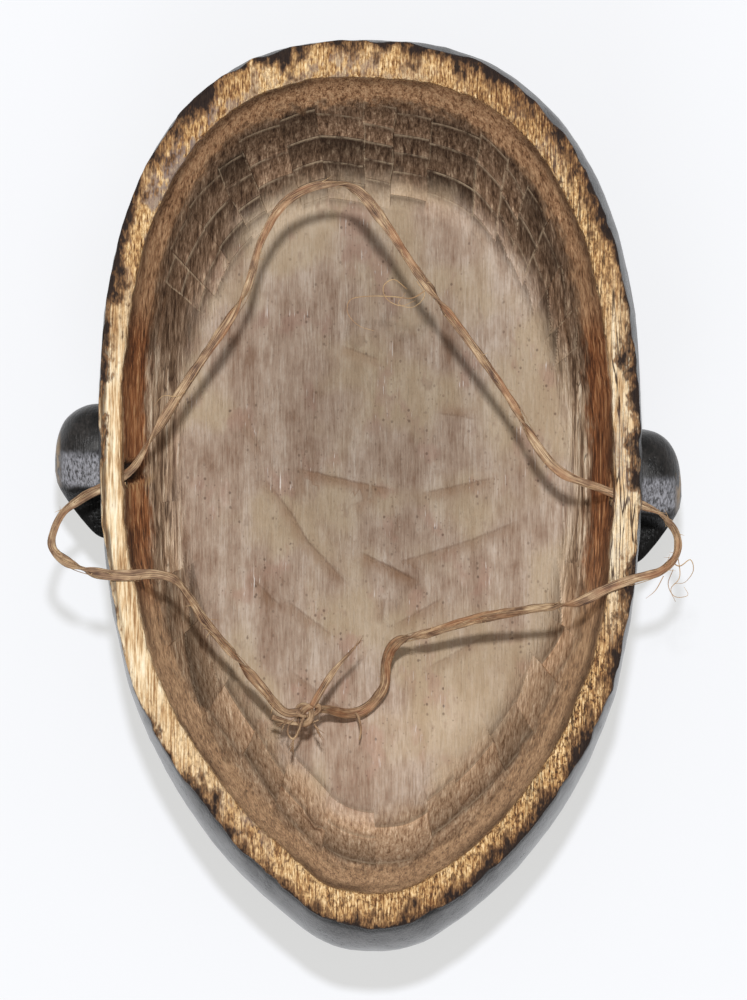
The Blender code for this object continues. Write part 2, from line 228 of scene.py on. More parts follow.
def strandPath(points, away, turnLength, start):
    # A loose strand winds slowly round the strip, and stands off from it here and there
    strand = []
    for point, aside, above, walked in pathFrames(points):
        around = start + 2 * math.pi * walked / turnLength + 2.2 * wave(walked / 26, start, 6)
        distance = away * (0.85 + 0.5 * wave(walked / 15, start, 2.5))
        lean, lift = distance * math.cos(around), 0.55 * distance * math.sin(around)
        strand.append(point + aside * lean + above * lift)
    return strand


def finishStrip(bm, name, material, *nodes):
    bmesh.ops.recalc_face_normals(bm, faces=bm.faces)
    mesh = bpy.data.meshes.new(name)
    bm.to_mesh(mesh)
    bm.free()
    mesh.shade_smooth()
    mesh.materials.append(material)
    return addPiece(name, mesh, "bast", *nodes)


def newStrip():
    bm = bmesh.new()
    return bm, bm.loops.layers.uv.new("fibres")


def makeBast(bastLook, fibreLook):
    width, sides, fibreSides = bast["width"], bast["sides"], bast["fibreSides"]
    draw = random.Random(bast["seed"])

    path = layOnRim(smoothCurve(bast["route"], bast["ringStep"]))
    bm, uvLayer = newStrip()
    length = addStrip(bm, uvLayer, path, width, bast["thickness"], sides, flips=bast["flips"])
    for thickness, away, turnLength, start in bast["strands"]:
        strand = strandPath(path, away, turnLength, start)
        addStrip(bm, uvLayer, strand, thickness, thickness * 0.7, fibreSides, seed=start + 4)
    strip = finishStrip(bm, "bast_strip", bastLook, "cord")

    bm, uvLayer = newStrip()
    tail = layOnRim(smoothCurve(bast["tail"], 0.8))
    addStrip(bm, uvLayer, tail, bast["tailWidth"], bast["tailThickness"], sides, taper=(0.9, 0.3), seed=2)
    tailEnd = tail[-1]
    for hair in range(bast["tailHairs"]):
        aim = drawVector(draw, (0.2, 0.9), (0.5, 1), (-0.4, 0.3)) * draw.uniform(2, 4)
        addFibre(bm, uvLayer, [tailEnd - aim * 0.3, tailEnd + aim * 0.4, tailEnd + aim], 0.35, 3 + hair)
    tailPiece = finishStrip(bm, "bast_tail", bastLook, "cord_tail")

    # The knot: a tight overhand turn, the end that passes under it, a small loop and three brushed ends
    bm, uvLayer = newStrip()
    middle = knotMiddle + rimPlace
    across, along, up = bast["knotScale"]
    turns = []
    for step in range(90):
        t = 2 * math.pi * step / 89
        x, y, z = math.sin(t) + 2 * math.sin(2 * t), math.cos(t) - 2 * math.cos(2 * t), -math.sin(3 * t)
        turns.append(middle + Vector((x * across + y * 0.3, y * along - 0.4, z * up)))
    addStrip(bm, uvLayer, turns, bast["knotWidth"], bast["knotThickness"], sides, seed=7)
    for name, wide in bast["endWidths"].items():
        route = layOnRim(smoothCurve(bast[name], 0.7))
        addStrip(bm, uvLayer, route, wide, bast["endThickness"], sides, taper=(0.8, 0.4), seed=len(name))
    spreadRange = (-bast["brushSpread"], bast["brushSpread"])
    for start, end in bast["brushEnds"]:
        start, end = Vector(start), Vector(end)
        for hair in range(bast["brushHairs"]):
            spread = drawVector(draw, spreadRange, spreadRange, (-0.8, 0.8))
            route = (start, (start + end) / 2 + spread * 0.3, end + spread)
            addFibre(bm, uvLayer, layOnRim(smoothCurve(route, 1)), bast["brushThickness"], 20 + hair)
    knot = finishStrip(bm, "bast_knot", bastLook, "cord_knot")

    # Stray fibres: the long curls that show, and short hairs all along the strip
    bm, uvLayer = newStrip()
    for index, curl in enumerate(bast["curls"]):
        route = [point + rimPlace for point in smoothCurve(curl, 0.9)]
        addFibre(bm, uvLayer, route, bast["fibreThickness"], index)
    for hair in range(bast["hairs"]):
        place = draw.randrange(8, len(path) - 8)
        start, forward = path[place], (path[place + 2] - path[place]).normalized()
        aim = drawVector(draw, (-1, 1), (-1, 1), (0.1, 0.7)) * draw.uniform(0.9, 2.6)
        aim += forward * draw.uniform(-5, 5)
        bend = drawVector(draw, (-1, 1), (-1, 1)).to_3d()
        route = [start, start + aim * 0.5 + bend * 0.4, start + aim + bend]
        addFibre(bm, uvLayer, route, bast["hairThickness"], hair)
    fibres = finishStrip(bm, "bast_fibres", fibreLook)

    print("bast laid,", round(length), "mm long")


# The block of wood, with the same sizes as its solid
maskShape = {
    "halfWidth": 83.6, "crownLength": 129.8, "chinLength": 144.2, "rimHeight": 94, "rimRounding": 2.2,
    "rimWidth": {"right": 8.5, "left": 7, "crown": 11.5, "chin": 10.5}, "hollowDepth": 62, "floorDish": 5,
    "wallRun": {"right": 14, "left": 18.5, "crown": 40, "chin": 28}, "sideBulge": 1.5, "chinBulge": 9.5,
    "templeBulge": 3, "templeAngle": 0.9, "templeSpread": 0.5, "faceLevel": 20, "crownLean": 2.4,
    "centre": (0.9, 10.4), "crownFullness": 2.5, "chinFullness": {"right": 2.12, "left": 2.0},
    "chinSharpening": 0.3, "chinStart": 0.7, "chinTip": 0.985, "tipRounding": 0.6, "shellFullness": 3.5,
    "wallFullness": 1.7, "rimFullness": 4.0,
}
# How many vertices go round, halved where less detail is needed, and how many rings each stretch has
skin = {"spokes": 576, "floorRings": ((72, 0.03, 0.13, 4), (144, 0.155, 0.36, 10), (288, 0.375, 0.985, 40)),
        "wallRings": 70, "rimRings": 12, "outerRings": ((576, 0.012, 0.09, 6), (288, 0.1, 0.76, 54),
                                                        (144, 0.775, 0.93, 12), (72, 0.945, 0.985, 3))}


def fullCurve(turn, fullness):
    # A point of the squared circle |x|^n + |y|^n = 1, at an angle from its upright axis
    east, north = math.sin(turn), math.cos(turn)
    size = (abs(east) ** fullness + abs(north) ** fullness) ** (-1 / fullness)
    return east * size, north * size


def bySide(values, angle):
    east, north = math.cos(angle), math.sin(angle)
    return (values["right"] * max(east, 0) ** 2 + values["left"] * max(-east, 0) ** 2
            + values["crown"] * max(north, 0) ** 2 + values["chin"] * max(-north, 0) ** 2)


def rimRadius(angle):
    east, north = math.cos(angle), math.sin(angle)
    if north >= 0:
        length, fullness = maskShape["crownLength"], maskShape["crownFullness"]
    else:
        length = maskShape["chinLength"]
        fullness = maskShape["chinFullness"]["right" if east > 0 else "left"]
        towardsTip = max(0, -north - maskShape["chinStart"]) / (1 - maskShape["chinStart"])
        rounding = maskShape["tipRounding"] * smoothStep(maskShape["chinTip"], 1, -north)
        fullness -= maskShape["chinSharpening"] * towardsTip * (1 - rounding)
    across = abs(east / maskShape["halfWidth"]) ** fullness
    return (across + abs(north / length) ** fullness) ** (-1 / fullness)


def sideBulge(angle):
    offTemple = angle - maskShape["templeAngle"]
    offTemple = math.atan2(math.sin(offTemple), math.cos(offTemple))
    return (maskShape["sideBulge"] + maskShape["chinBulge"] * max(-math.sin(angle), 0) ** 4
            + maskShape["templeBulge"] * bell(offTemple, maskShape["templeSpread"]))


def faceRelief(x, y):
    # The features that stand out of the face, as shares of the way down, then their finer cuts
    across = (x - maskShape["centre"][0]) / maskShape["halfWidth"]
    up = y / maskShape["crownLength"]
    side = abs(across)
    forehead = 0.50 * bump(across, up - 0.66, 0.66, 0.34, 1.6)
    browLine = up - 0.36 + 0.20 * side ** 2
    brow = (0.80 + 0.34 * bell(side - 0.36, 0.16)) * bell(browLine, 0.105)
    brow *= 1 - smoothStep(0.50, 0.85, side)
    socket = -0.26 * bump(side - 0.38, up - 0.15, 0.25, 0.12, 1.6)
    eye = 0.44 * bump(side - 0.37, up - 0.145, 0.135, 0.075, 2)
    noseHalf = 0.095 + 0.06 * smoothStep(0.2, -0.1, up)
    bridge = 0.46 * bump(across, 0, noseHalf, 1, 1.5) * smoothStep(-0.22, -0.10, up)
    bridge *= 1 - smoothStep(0.24, 0.36, up)
    nostrils = 0.22 * bump(side - 0.13, up + 0.10, 0.10, 0.065, 1.4)
    snout = (across / 0.52) ** 2 + ((up + 0.52) / 0.37) ** 2
    muzzle = max(1.03 - 0.32 * snout, 0) * math.exp(-0.5 * snout ** 2.5)
    mouthLine = up + 0.69 - 0.34 * across ** 2
    mouthEnd = 1 - smoothStep(0.34, 0.48, side)
    mouth = -0.24 * bump(0, mouthLine, 1, 0.034, 1.4) * mouthEnd
    cheek = 0.20 * bump(side - 0.62, up + 0.08, 0.20, 0.22)
    chin = 0.30 * bump(across, up + 0.93, 0.34, 0.12)

    lidGap = math.hypot((side - 0.37) / 0.135, (up - 0.145) / 0.075) - 1.05
    lids = -0.07 * bell(lidGap, 0.16) + 0.05 * bell(lidGap - 0.34, 0.2)
    eyeSlit = -0.20 * bump(side - 0.37, up - 0.145 + 0.5 * (side - 0.37) ** 2, 0.105, 0.014, 1.5)
    nostrilHole = -0.24 * bump(side - 0.125, up + 0.135, 0.045, 0.022, 1.5)
    lips = 0.05 * (bell(mouthLine - 0.062, 0.026) + bell(mouthLine + 0.062, 0.026)) * mouthEnd
    crease = -0.06 * bell(across ** 2 * 2.2 - (up + 0.2) * 0.6 - 0.30, 0.05) * smoothStep(0.2, 0.4, side)
    crease *= smoothStep(-0.6, -0.3, up) * (1 - smoothStep(0.0, 0.15, up))
    browHair = 0.016 * math.sin(across * 110 + 9 * up) * bell(browLine, 0.09)
    browHair *= 1 - smoothStep(0.5, 0.8, side)
    return (max(forehead, brow, muzzle) + socket + eye + bridge + nostrils + mouth + cheek + chin
            + lids + eyeSlit + nostrilHole + lips + crease + browHair)


# Flat chisel cuts stand in columns below the rim, each column with rows of its own
chisel = {
    "seed": 4, "firstCut": 7.6, "depth": 0.62, "jump": 0.30, "pastFoot": 2, "shelf": 0.1,
    "zones": {
        "crown": {"width": (10.5, 18.5), "row": (4.8, 8.2), "slant": 0.16, "strength": 1},
        "cheek": {"width": (17, 26), "row": (9, 16), "slant": 0.02, "strength": 0.0},
        "jaw": {"width": (17, 30), "row": (4.5, 11), "slant": 0.3, "strength": 0.75},
        "chin": {"width": (15, 24), "row": (6, 11), "slant": 0.12, "strength": 0.9},
    },
    "rightSkew": 0.17,
}
# Shallow strokes on the floor of the hollow, shaded on their right-hand side: start, end, width and depth
floorStrokes = (
    ((-20.8, 8), (6.1, 1.9), 3.0, 0.9), ((-20.2, 7), (-20.0, 0), 1.6, 0.45),
    ((-32.2, 4.6), (-24, -6), 2.2, 0.6), ((-25.3, -3.9), (-18.4, -16.1), 2.0, 0.75),
    ((-19.5, -14), (-7, -27.6), 2.0, 0.65), ((-1.2, -18.8), (14.5, -26.5), 1.8, 0.95),
    ((9.1, -21.5), (36, -13.1), 2.4, 0.6), ((33, -14), (46.7, -8.5), 2.4, 0.5),
    ((17.6, 0.7), (39, 5.3), 3.0, 0.65), ((9.1, -40.7), (22.9, -33), 2.2, 0.6),
    ((-4.7, -3.1), (2.2, -0.4), 1.8, 0.5), ((-25.3, -33.8), (-12.3, -43.7), 2.2, 0.6),
    ((-36.8, -26.1), (-27.6, -35.3), 2.2, 0.6), ((33.7, 24.1), (22.2, 26), 2.6, 0.5),
    ((5.3, -33), (4.2, -40.7), 1.8, 0.7), ((-38.4, 26.8), (-33.8, 13), 2.4, 0.45),
    ((-8, 47), (3, 43), 3.0, 0.5), ((20, -54), (38, -44), 2.4, 0.5), ((-24, -56), (-8, -68), 2.4, 0.5),
)
# Narrow cracks and gouges in the walls: start, end, width and depth
wallCracks = (
    ((57.6, 99), (60.4, 82), 0.8, 0.9), ((-18.6, -98.5), (-15.6, -104), 2.6, 1.7),
    ((61, 60), (62.6, 41), 0.6, 0.6), ((-63.5, 62), (-66.5, 44), 0.7, 0.6),
    ((64.5, -8), (61, -30), 0.7, 0.6), ((33, -92), (29, -97), 1.1, 0.9),
)
# Chips along the rim's outer edge: how many, how long and how deep
chips = {"count": 64, "seed": 12, "length": (1.6, 5.5), "depth": (0.25, 1.1)}
# How much of the rim stays pale before the worn brown border begins, and where grey stains lie on it
rimWear = {"right": 0.58, "left": 0.59, "crown": 0.50, "chin": 0.50}
rimStains = ((2.15, 0.30, 1.0), (1.62, 0.22, 0.6), (1.1, 0.16, 0.35), (-0.05, 0.35, 0.5), (-1.9, 0.1, 0.5))
# The wood round each hole's mouth is scooped out: its middle, its drop below the rim, its half sizes
scoops = {"depth": 2.2, "left": ((-72.4, 7.4), 25, (4.0, 13)), "right": ((72.0, 4.2), 16.5, (4.2, 5.6))}


def cutZone(angle):
    east, north = math.cos(angle), math.sin(angle)
    if north > 0.56:
        return "crown"
    if north < -0.86:
        return "chin"
    return "jaw" if north < -0.34 else "cheek"


def measureRim():
    # The rim's length, and the angle at each spoke, at even steps clockwise from the crown
    fine = 7200
    angles = [math.pi / 2 - 2 * math.pi * step / fine for step in range(fine + 1)]
    walked, before = [0], None
    for angle in angles:
        radius = rimRadius(angle)
        place = Vector((radius * math.cos(angle), radius * math.sin(angle)))
        if before:
            walked.append(walked[-1] + (place - before).length)
        before = place
    return walked[-1], walked, angles


def angleAt(arc, walked, angles):
    index = min(max(bisect.bisect_left(walked, arc), 1), len(walked) - 1)
    share = (arc - walked[index - 1]) / (walked[index] - walked[index - 1])
    return angles[index - 1] + (angles[index] - angles[index - 1]) * share


def layColumns(perimeter, walked, angles):
    draw = random.Random(chisel["seed"])
    spokes = skin["spokes"]
    step = perimeter / spokes
    columns, spoke = [], 0
    while spoke < spokes:
        zone = chisel["zones"][cutZone(angleAt(spoke * step, walked, angles))]
        end = min(spoke + max(4, round(draw.uniform(*zone["width"]) / step)), spokes)
        if spokes - end < 5:
            end = spokes
        rows = [chisel["firstCut"] + draw.uniform(-1.2, 2.5)]
        while rows[-1] < 75:
            rows.append(rows[-1] + draw.uniform(*zone["row"]))
        columns.append({
            "start": spoke, "end": end, "rows": rows, "zone": zone,
            "lift": draw.uniform(-1, 1) * chisel["jump"], "lean": draw.uniform(-0.05, 0.05),
            "slant": draw.uniform(-0.5, 1) * zone["slant"], "crest": draw.uniform(0, 1) ** 2,
            "tones": [draw.uniform(-1, 1) for _ in rows], "depths": [draw.uniform(0.6, 1.25) for _ in rows],
        })
        spoke = end
    return columns


def makeSpokes():
    # Each spoke's angle, place along the rim and column; spokes crowd together where two columns meet
    perimeter, walked, angles = measureRim()
    step = perimeter / skin["spokes"]
    spokes = []
    for column in layColumns(perimeter, walked, angles):
        count = column["end"] - column["start"]
        for index in range(count):
            crowding = 0.3 if index == count - 1 else -0.3 if index == 0 else 0
            arc = (column["start"] + index + crowding) * step
            share = index / max(count - 1, 1)
            spokes.append({"angle": angleAt(max(arc, 0), walked, angles), "arc": arc, "column": column,
                           "share": share, "width": count * step, "edge": min(index, count - 1 - index)})
    return spokes


def cutMark(spoke, depth, angle, wallRun):
    # How far a place stands proud of the smooth wall, with its cut's tone (random, and darker towards the
    # cut's top as painted shade under its ledge), its way below the last ledge, how plain that ledge is and
    # how near a column's crest
    column = spoke["column"]
    zone = column["zone"]
    shifted = depth - column["slant"] * (spoke["share"] - 0.5) * spoke["width"]
    rows = column["rows"]
    fade = smoothStep(rows[0] - 1.2, rows[0], shifted)
    fade *= 1 - smoothStep(wallRun - 9, wallRun + chisel["pastFoot"], depth)
    strength = zone["strength"] * fade
    if strength < 0.001:
        return 0, 0, 3, 0, 0
    row = max(bisect.bisect_right(rows, shifted) - 1, 0)
    below = shifted - rows[row]
    share = below / (rows[row + 1] - rows[row])
    size = column["depths"][row]
    proud = chisel["depth"] * size * (0.5 - share) + column["lift"]
    proud += column["lean"] * (spoke["share"] - 0.5) * spoke["width"]
    # The tone differs at random from cut to cut; the share term makes each cut darker at its top, as painted
    # shade under the ledge above
    tone = 1.35 * column["tones"][row] - 1.5 * (0.5 - share)
    ridge = column["crest"] if spoke["edge"] == 0 else 0
    belowLedge = 3 if below < 0 else min(below, 3)
    return proud * strength, tone * strength, belowLedge, strength * (0.35 + 0.5 * size), ridge * strength


def wallRings(spoke, wallRun):
    # Shares of the wall's run, from the foot up, with two rings drawn onto each cut's upper edge
    rings = skin["wallRings"]
    runs = [fullCurve(ring / rings * math.pi / 2, maskShape["wallFullness"])[0] for ring in range(rings + 1)]
    column = spoke["column"]
    offset = column["slant"] * (spoke["share"] - 0.5) * spoke["width"]
    for mark in column["rows"]:
        share = 1 - (mark + offset) / wallRun
        if not 0.04 < share < 0.97:
            continue
        index = min(max(bisect.bisect_left(runs, share), 2), rings - 2)
        gap = min(chisel["shelf"] / wallRun, 0.2 * (runs[index + 1] - runs[index - 2]))
        runs[index - 1], runs[index] = share - gap, share + gap
    return runs


def spokeAngle(spoke, depth):
    # Right of the crown the columns run straight down, and every column edge wanders a little
    angle = spoke["angle"]
    east, north = math.cos(angle), math.sin(angle)
    skew = chisel["rightSkew"] * smoothStep(0.05, 0.5, east) * smoothStep(0.25, 0.7, north)
    wander = 0.9 * wave(spoke["arc"] / 11, depth / 7, 2.2) * smoothStep(2, 10, depth)
    return angle - skew * smoothStep(4, 62, depth) * 1.4 + wander / rimRadius(angle)


def edgeWander(arc):
    # How the rim's inner and outer edges leave their smooth line
    inner = 0.75 * wave(arc / 12, 0.5, 1) + 0.4 * wave(arc / 3.5, 4, 1)
    outer = 0.5 * wave(arc / 16, 9, 3) + 0.25 * wave(arc / 4, 6, 3)
    return inner, outer


def layChips(perimeter):
    draw = random.Random(chips["seed"])
    return [(draw.uniform(0, perimeter), draw.uniform(*chips["length"]), draw.uniform(*chips["depth"]))
            for _ in range(chips["count"])]


def chipAt(arc, edgeChips):
    return sum(depth * bump(arc - place, 0, length, 1, 2) for place, length, depth in edgeChips
               if abs(arc - place) < 3 * length)


# What a vertex carries for the shader where nothing is cut, drawn or worn
plainMarks = {"wallShare": 1, "cutTone": 0, "ledge": 0, "belowLedge": 3, "ridge": 0, "stroke": 0,
              "strokeOff": 6, "bore": 0, "worn": 0, "shade": 0, "sheen": 0}


def strokeMark(x, y):
    # Each stroke is a low step that fades out on one side; the nearest gives its signed distance and strength
    height, nearest, off, strength = 0, 0.02, 6, 0
    for across, ends, width, depth in nearStrokes(floorStrokes, x, y):
        step = math.tanh(across / width * 2) * bell(across, 2.6 * width)
        height += depth * ends * (step - 0.4 * bell(across, width))
        nearness = ends * depth * bell(across, 3)
        if nearness > nearest:
            nearest, off = nearness, min(max(across, -6), 6)
            strength = ends * depth * (1 - smoothStep(3.4, 5.6, abs(across)))
    return height, off, strength


def floorTone(x, y):
    # The floor is darkest above its middle and palest towards the chin
    return 0.5 * smoothStep(-48, -74, y) - 0.8 * bump(x - 1, y - 26, 44, 62, 1.4)


def crackMark(x, y):
    depthThere = 0
    for across, ends, width, depth in nearStrokes(wallCracks, x, y):
        depthThere = max(depthThere, depth * ends * bell(across, width / 2))
    return depthThere


def nearStrokes(strokes, x, y):
    place = Vector((x, y))
    for start, end, width, depth in strokes:
        start, along = Vector(start), Vector(end) - Vector(start)
        share = (place - start).dot(along) / along.length_squared
        across = (place - start).cross(along) / along.length
        if -0.15 < share < 1.15 and abs(across) < 5 * width:
            ends = smoothStep(-0.15, 0.15, share) * (1 - smoothStep(0.8, 1.15, share))
            yield across, ends, width, depth


def scoopMark(place):
    # How deep the scoop round a hole is here, and how close this is to its pale worn edge towards the chin
    (x, y), drop, (halfAlong, halfDown) = scoops["right" if place.x > 0 else "left"]
    if abs(place.x - x) > 12 or abs(place.y - y) > 12:
        return 0, 0
    off = math.hypot((place.y - y) / halfAlong, (place.z - maskShape["rimHeight"] + drop) / halfDown)
    towardsChin = 0.2 + 0.8 * smoothStep(0, 2.5, y - place.y)
    return 1 - smoothStep(0.55, 1.1, off), bell(off - 1.25, 0.2) * towardsChin


def toVertex(angle, radius, height):
    x = maskShape["centre"][0] + radius * math.cos(angle)
    y = maskShape["centre"][1] + radius * math.sin(angle)
    return Vector((x - maskShape["crownLean"] * max(y, 0) / maskShape["crownLength"], y, height))


def hollowProfile(angle, run):
    # Radius and height in the hollow; run is below 0 on the floor, as a share of the foot's radius
    rimInside = rimRadius(angle) - bySide(maskShape["rimWidth"], angle)
    wallRun = bySide(maskShape["wallRun"], angle)
    foot = rimInside - wallRun
    floorMiddle = maskShape["rimHeight"] - maskShape["hollowDepth"]
    if run < 0:
        radius, climb = foot * (1 + run), 0
    else:
        radius = foot + wallRun * run
        climb = 1 - max(1 - run ** maskShape["wallFullness"], 0) ** (1 / maskShape["wallFullness"])
    rise = maskShape["rimHeight"] - maskShape["rimRounding"] - floorMiddle
    rise -= maskShape["floorDish"] * (rimInside / foot) ** 2
    return radius, floorMiddle + maskShape["floorDish"] * (radius / foot) ** 2 + rise * climb


def hollowVertex(spoke, run):
    # A point of the carved hollow and its marks
    wallRun = bySide(maskShape["wallRun"], spoke["angle"])
    rimInside = rimRadius(spoke["angle"]) - bySide(maskShape["rimWidth"], spoke["angle"])
    depth = wallRun * (1 - run) if run >= 0 else wallRun - (rimInside - wallRun) * run
    angle = spokeAngle(spoke, depth)
    wallRun = bySide(maskShape["wallRun"], angle)
    radius, height = hollowProfile(angle, run)
    low, high = hollowProfile(angle, max(run - 0.02, -1)), hollowProfile(angle, min(run + 0.02, 1))
    slope = Vector((high[0] - low[0], high[1] - low[1])).normalized()
    proud, tone, belowLedge, ledge, ridge = cutMark(spoke, depth, angle, wallRun)
    place = toVertex(angle, radius, height)
    sideways = 1 - smoothStep(0.35, 0.7, abs(math.sin(angle)))
    onWall = smoothStep(-0.05, 0.25, run) * (1 - smoothStep(0.9, 1, run))
    arc = spoke["arc"]
    sawMarks = 0.8 * wave(arc / 55, depth / 2.2, 3) + 0.35 * wave(arc / 18, depth / 0.9, 5)
    proud += sideways * onWall * sawMarks
    proud += 0.16 * wave(place.x / 7, place.y / 16, place.z / 7) + 0.08 * wave(place.x / 2.2, place.y / 7, 3)
    stroke, strokeOff, scoop, wornEdge = 0, 6, 0, 0
    if run < 0.1:
        cells = noise.voronoi(Vector((place.x / 11, place.y / 24, 0)))[0]
        floorShare = 1 - smoothStep(-0.1, 0.1, run)
        strokeHeight, strokeOff, stroke = strokeMark(place.x, place.y)
        stroke *= floorShare
        proud += floorShare * (0.35 * min(cells[0], 1) ** 2 + strokeHeight)
        tone += floorShare * floorTone(place.x, place.y)
    else:
        crackAndShade = crackMark(place.x, place.y)
        scoop, wornEdge = scoopMark(place)
        proud -= crackAndShade + scoop * scoops["depth"]
        stroke, strokeOff = min(crackAndShade * 1.6, 1), 0.0 if crackAndShade > 0.05 else 6
        tone -= 0.7 * smoothStep(-0.15, -0.6, math.cos(angle)) * smoothStep(-0.2, -0.6, math.sin(angle))
    inner, _ = edgeWander(arc)
    proud *= 1 - smoothStep(0.93, 1, run)
    radius += inner * smoothStep(0.75, 1, run) - proud * slope.y
    height += proud * slope.x
    # The scoop round a hole's mouth also gets painted shade
    marks = {**plainMarks, "fromRim": depth, "outward": 0, "wallShare": max(run, 0), "cutTone": tone,
             "ledge": ledge, "belowLedge": belowLedge, "ridge": ridge, "stroke": stroke,
             "strokeOff": strokeOff, "bore": scoop, "worn": wornEdge, **sideMarks(angle)}
    return toVertex(angle, radius, height), marks


def sideMarks(angle):
    # Where a place lies round the mask, for what differs from side to side
    east, north = math.cos(angle), math.sin(angle)
    stain = sum(strength * bell(math.atan2(math.sin(angle - place), math.cos(angle - place)), width)
                for place, width, strength in rimStains)
    lowLeft = bell(math.atan2(math.sin(angle + 2.55), math.cos(angle + 2.55)), 0.5)
    return {"sideways": 1 - smoothStep(0.35, 0.7, abs(north)), "crownward": smoothStep(0.2, 0.6, north),
            "chinward": smoothStep(0.25, 0.7, -north), "rightward": smoothStep(0.1, 0.6, east),
            "wearStart": bySide(rimWear, angle) + 0.3 * lowLeft, "lowLeft": lowLeft, "stain": stain}


def rimVertex(spoke, share, edgeChips):
    angle, arc = spokeAngle(spoke, 0), spoke["arc"]
    inner, outer = edgeWander(arc)
    chip = chipAt(arc, edgeChips)
    outside, width = rimRadius(angle), bySide(maskShape["rimWidth"], angle)
    reach, rise = fullCurve((share - 0.5) * math.pi, maskShape["rimFullness"])
    radius = outside - width / 2 * (1 - reach) + inner * (1 - share) + outer * share
    height = maskShape["rimHeight"] - maskShape["rimRounding"] * (1 - rise)
    place = toVertex(angle, radius, height)
    sawn = 0.22 * wave(place.x / 1.1, place.y / 9, 4) + 0.3 * wave(place.x / 14, place.y / 14, 1)
    edge = smoothStep(0.62, 1, share)
    height += sawn * (1 - abs(2 * share - 1) ** 4) - 0.2 - 1.1 * chip * edge
    radius -= 0.8 * chip * edge
    marks = {**plainMarks, "fromRim": -width * share, "outward": share, **sideMarks(angle)}
    return toVertex(angle, radius, height), marks


def outerVertex(spoke, share, edgeChips):
    angle = spokeAngle(spoke, 0)
    _, outer = edgeWander(spoke["arc"])
    chip = chipAt(spoke["arc"], edgeChips) * (1 - smoothStep(0.0, 0.05, share))
    left = 1 - share
    turn = (0.7 * left + 0.3 * left ** 3) * math.pi / 2
    spread, drop = fullCurve(turn, maskShape["shellFullness"])
    radius = rimRadius(angle) * spread + sideBulge(angle) * 4 * drop * (1 - drop) * spread
    rim = maskShape["rimHeight"] - maskShape["rimRounding"]
    height = rim - (rim - maskShape["faceLevel"]) * drop
    front = smoothStep(0.45, 0.85, drop)
    radius += outer * (1 - smoothStep(0, 0.2, share)) - 0.8 * chip
    place = toVertex(angle, radius, height)
    cells = noise.voronoi(Vector((place.x / 10, place.y / 12, place.z / 10)))[0]
    dent = 0.55 * (min(cells[0], 1) ** 2 - 0.35) + 0.12 * wave(place.x / 2.5, place.y / 2.5, place.z / 2.5)
    dent *= smoothStep(0.015, 0.12, share)
    radius += dent * (1 - smoothStep(0.3, 0.9, drop)) - 0.25
    if front > 0:
        relief = faceRelief(place.x, place.y)
        height = height * (1 - front * relief) + dent * front * smoothStep(1.0, 0.8, relief)
    marks = {**plainMarks, "fromRim": -20, "outward": 1 + rim / 10 * drop, **sideMarks(angle)}
    return toVertex(angle, radius, max(height, 0)), marks


def spread(low, high, count):
    return [low + (high - low) * index / max(count - 1, 1) for index in range(count)]


def joinRings(bm, ringA, ringB):
    # Quads between even rings, and three triangles to each pair where the next ring has half as many
    if len(ringA) < len(ringB):
        ringA, ringB = ringB, ringA
    count, half = len(ringA), len(ringB)
    for index in range(half):
        if count == half:
            after = (index + 1) % count
            bm.faces.new((ringA[index], ringA[after], ringB[after], ringB[index]))
            continue
        a, b, c = ringA[2 * index], ringA[2 * index + 1], ringA[(2 * index + 2) % count]
        low, high = ringB[index], ringB[(index + 1) % half]
        bm.faces.new((a, b, low))
        bm.faces.new((b, high, low))
        bm.faces.new((b, c, high))


def carveShell():
    perimeter, _, _ = measureRim()
    edgeChips = layChips(perimeter)
    spokes = makeSpokes()
    bm = bmesh.new()
    layers = {}
    rings = []

    def addRing(makeVertex, count):
        ring = []
        for spoke in spokes[::skin["spokes"] // count]:
            place, marks = makeVertex(spoke)
            vertex = bm.verts.new((place + Vector((rimPlace.x, rimPlace.y, 0))) * mm)
            for name, value in marks.items():
                if name not in layers:
                    layers[name] = []
                layers[name].append(value)
            ring.append(vertex)
        rings.append(ring)

    for count, low, high, steps in skin["floorRings"]:
        for share in spread(low, high, steps):
            addRing(lambda spoke: hollowVertex(spoke, share - 1), count)
    for spoke in spokes:
        spoke["runs"] = wallRings(spoke, bySide(maskShape["wallRun"], spoke["angle"]))
    for ring in range(skin["wallRings"] + 1):
        addRing(lambda spoke: hollowVertex(spoke, spoke["runs"][ring]), skin["spokes"])
    for ring in range(1, skin["rimRings"]):
        addRing(lambda spoke: rimVertex(spoke, ring / skin["rimRings"], edgeChips), skin["spokes"])
    for count, low, high, steps in skin["outerRings"]:
        for share in spread(low, high, steps):
            addRing(lambda spoke: outerVertex(spoke, share, edgeChips), count)
    for ringA, ringB in zip(rings, rings[1:]):
        joinRings(bm, ringA, ringB)
    bm.faces.new(rings[0])
    bm.faces.new(rings[-1])
    bmesh.ops.recalc_face_normals(bm, faces=bm.faces)
    bmesh.ops.triangulate(bm, faces=bm.faces)
    mesh = bpy.data.meshes.new("shell")
    bm.to_mesh(mesh)
    bm.free()
    print("shell carved,", len(mesh.polygons), "triangles")
    return mesh, layers


# The ears stand out of the same block
ears = {"span": 196.6, "height": 43, "thickness": 29, "seat": 3.8, "root": 4.5, "drop": 38,
        "middle": {"left": 7.5, "right": -0.5}, "fullness": 2.9, "taper": 0.45, "lobeFall": 0.6,
        "bevelFrom": 0.26, "bevelTo": -0.24, "bevelFall": 0.3, "lobeTo": -0.42,
        "cupDepth": 8, "edge": 5, "across": 80, "along": 64}
# The holes that the bast passes through, as in the solid, a little worn
holes = {"diameter": 8, "drop": 13.5, "overrun": 8, "sides": 28, "wear": 0.14,
         "inside": {"left": (-73.5, 7.6), "right": (72.2, 2.0)},
         "outside": {"left": (-81.8, 2.6), "right": (83.6, -2.6)}}


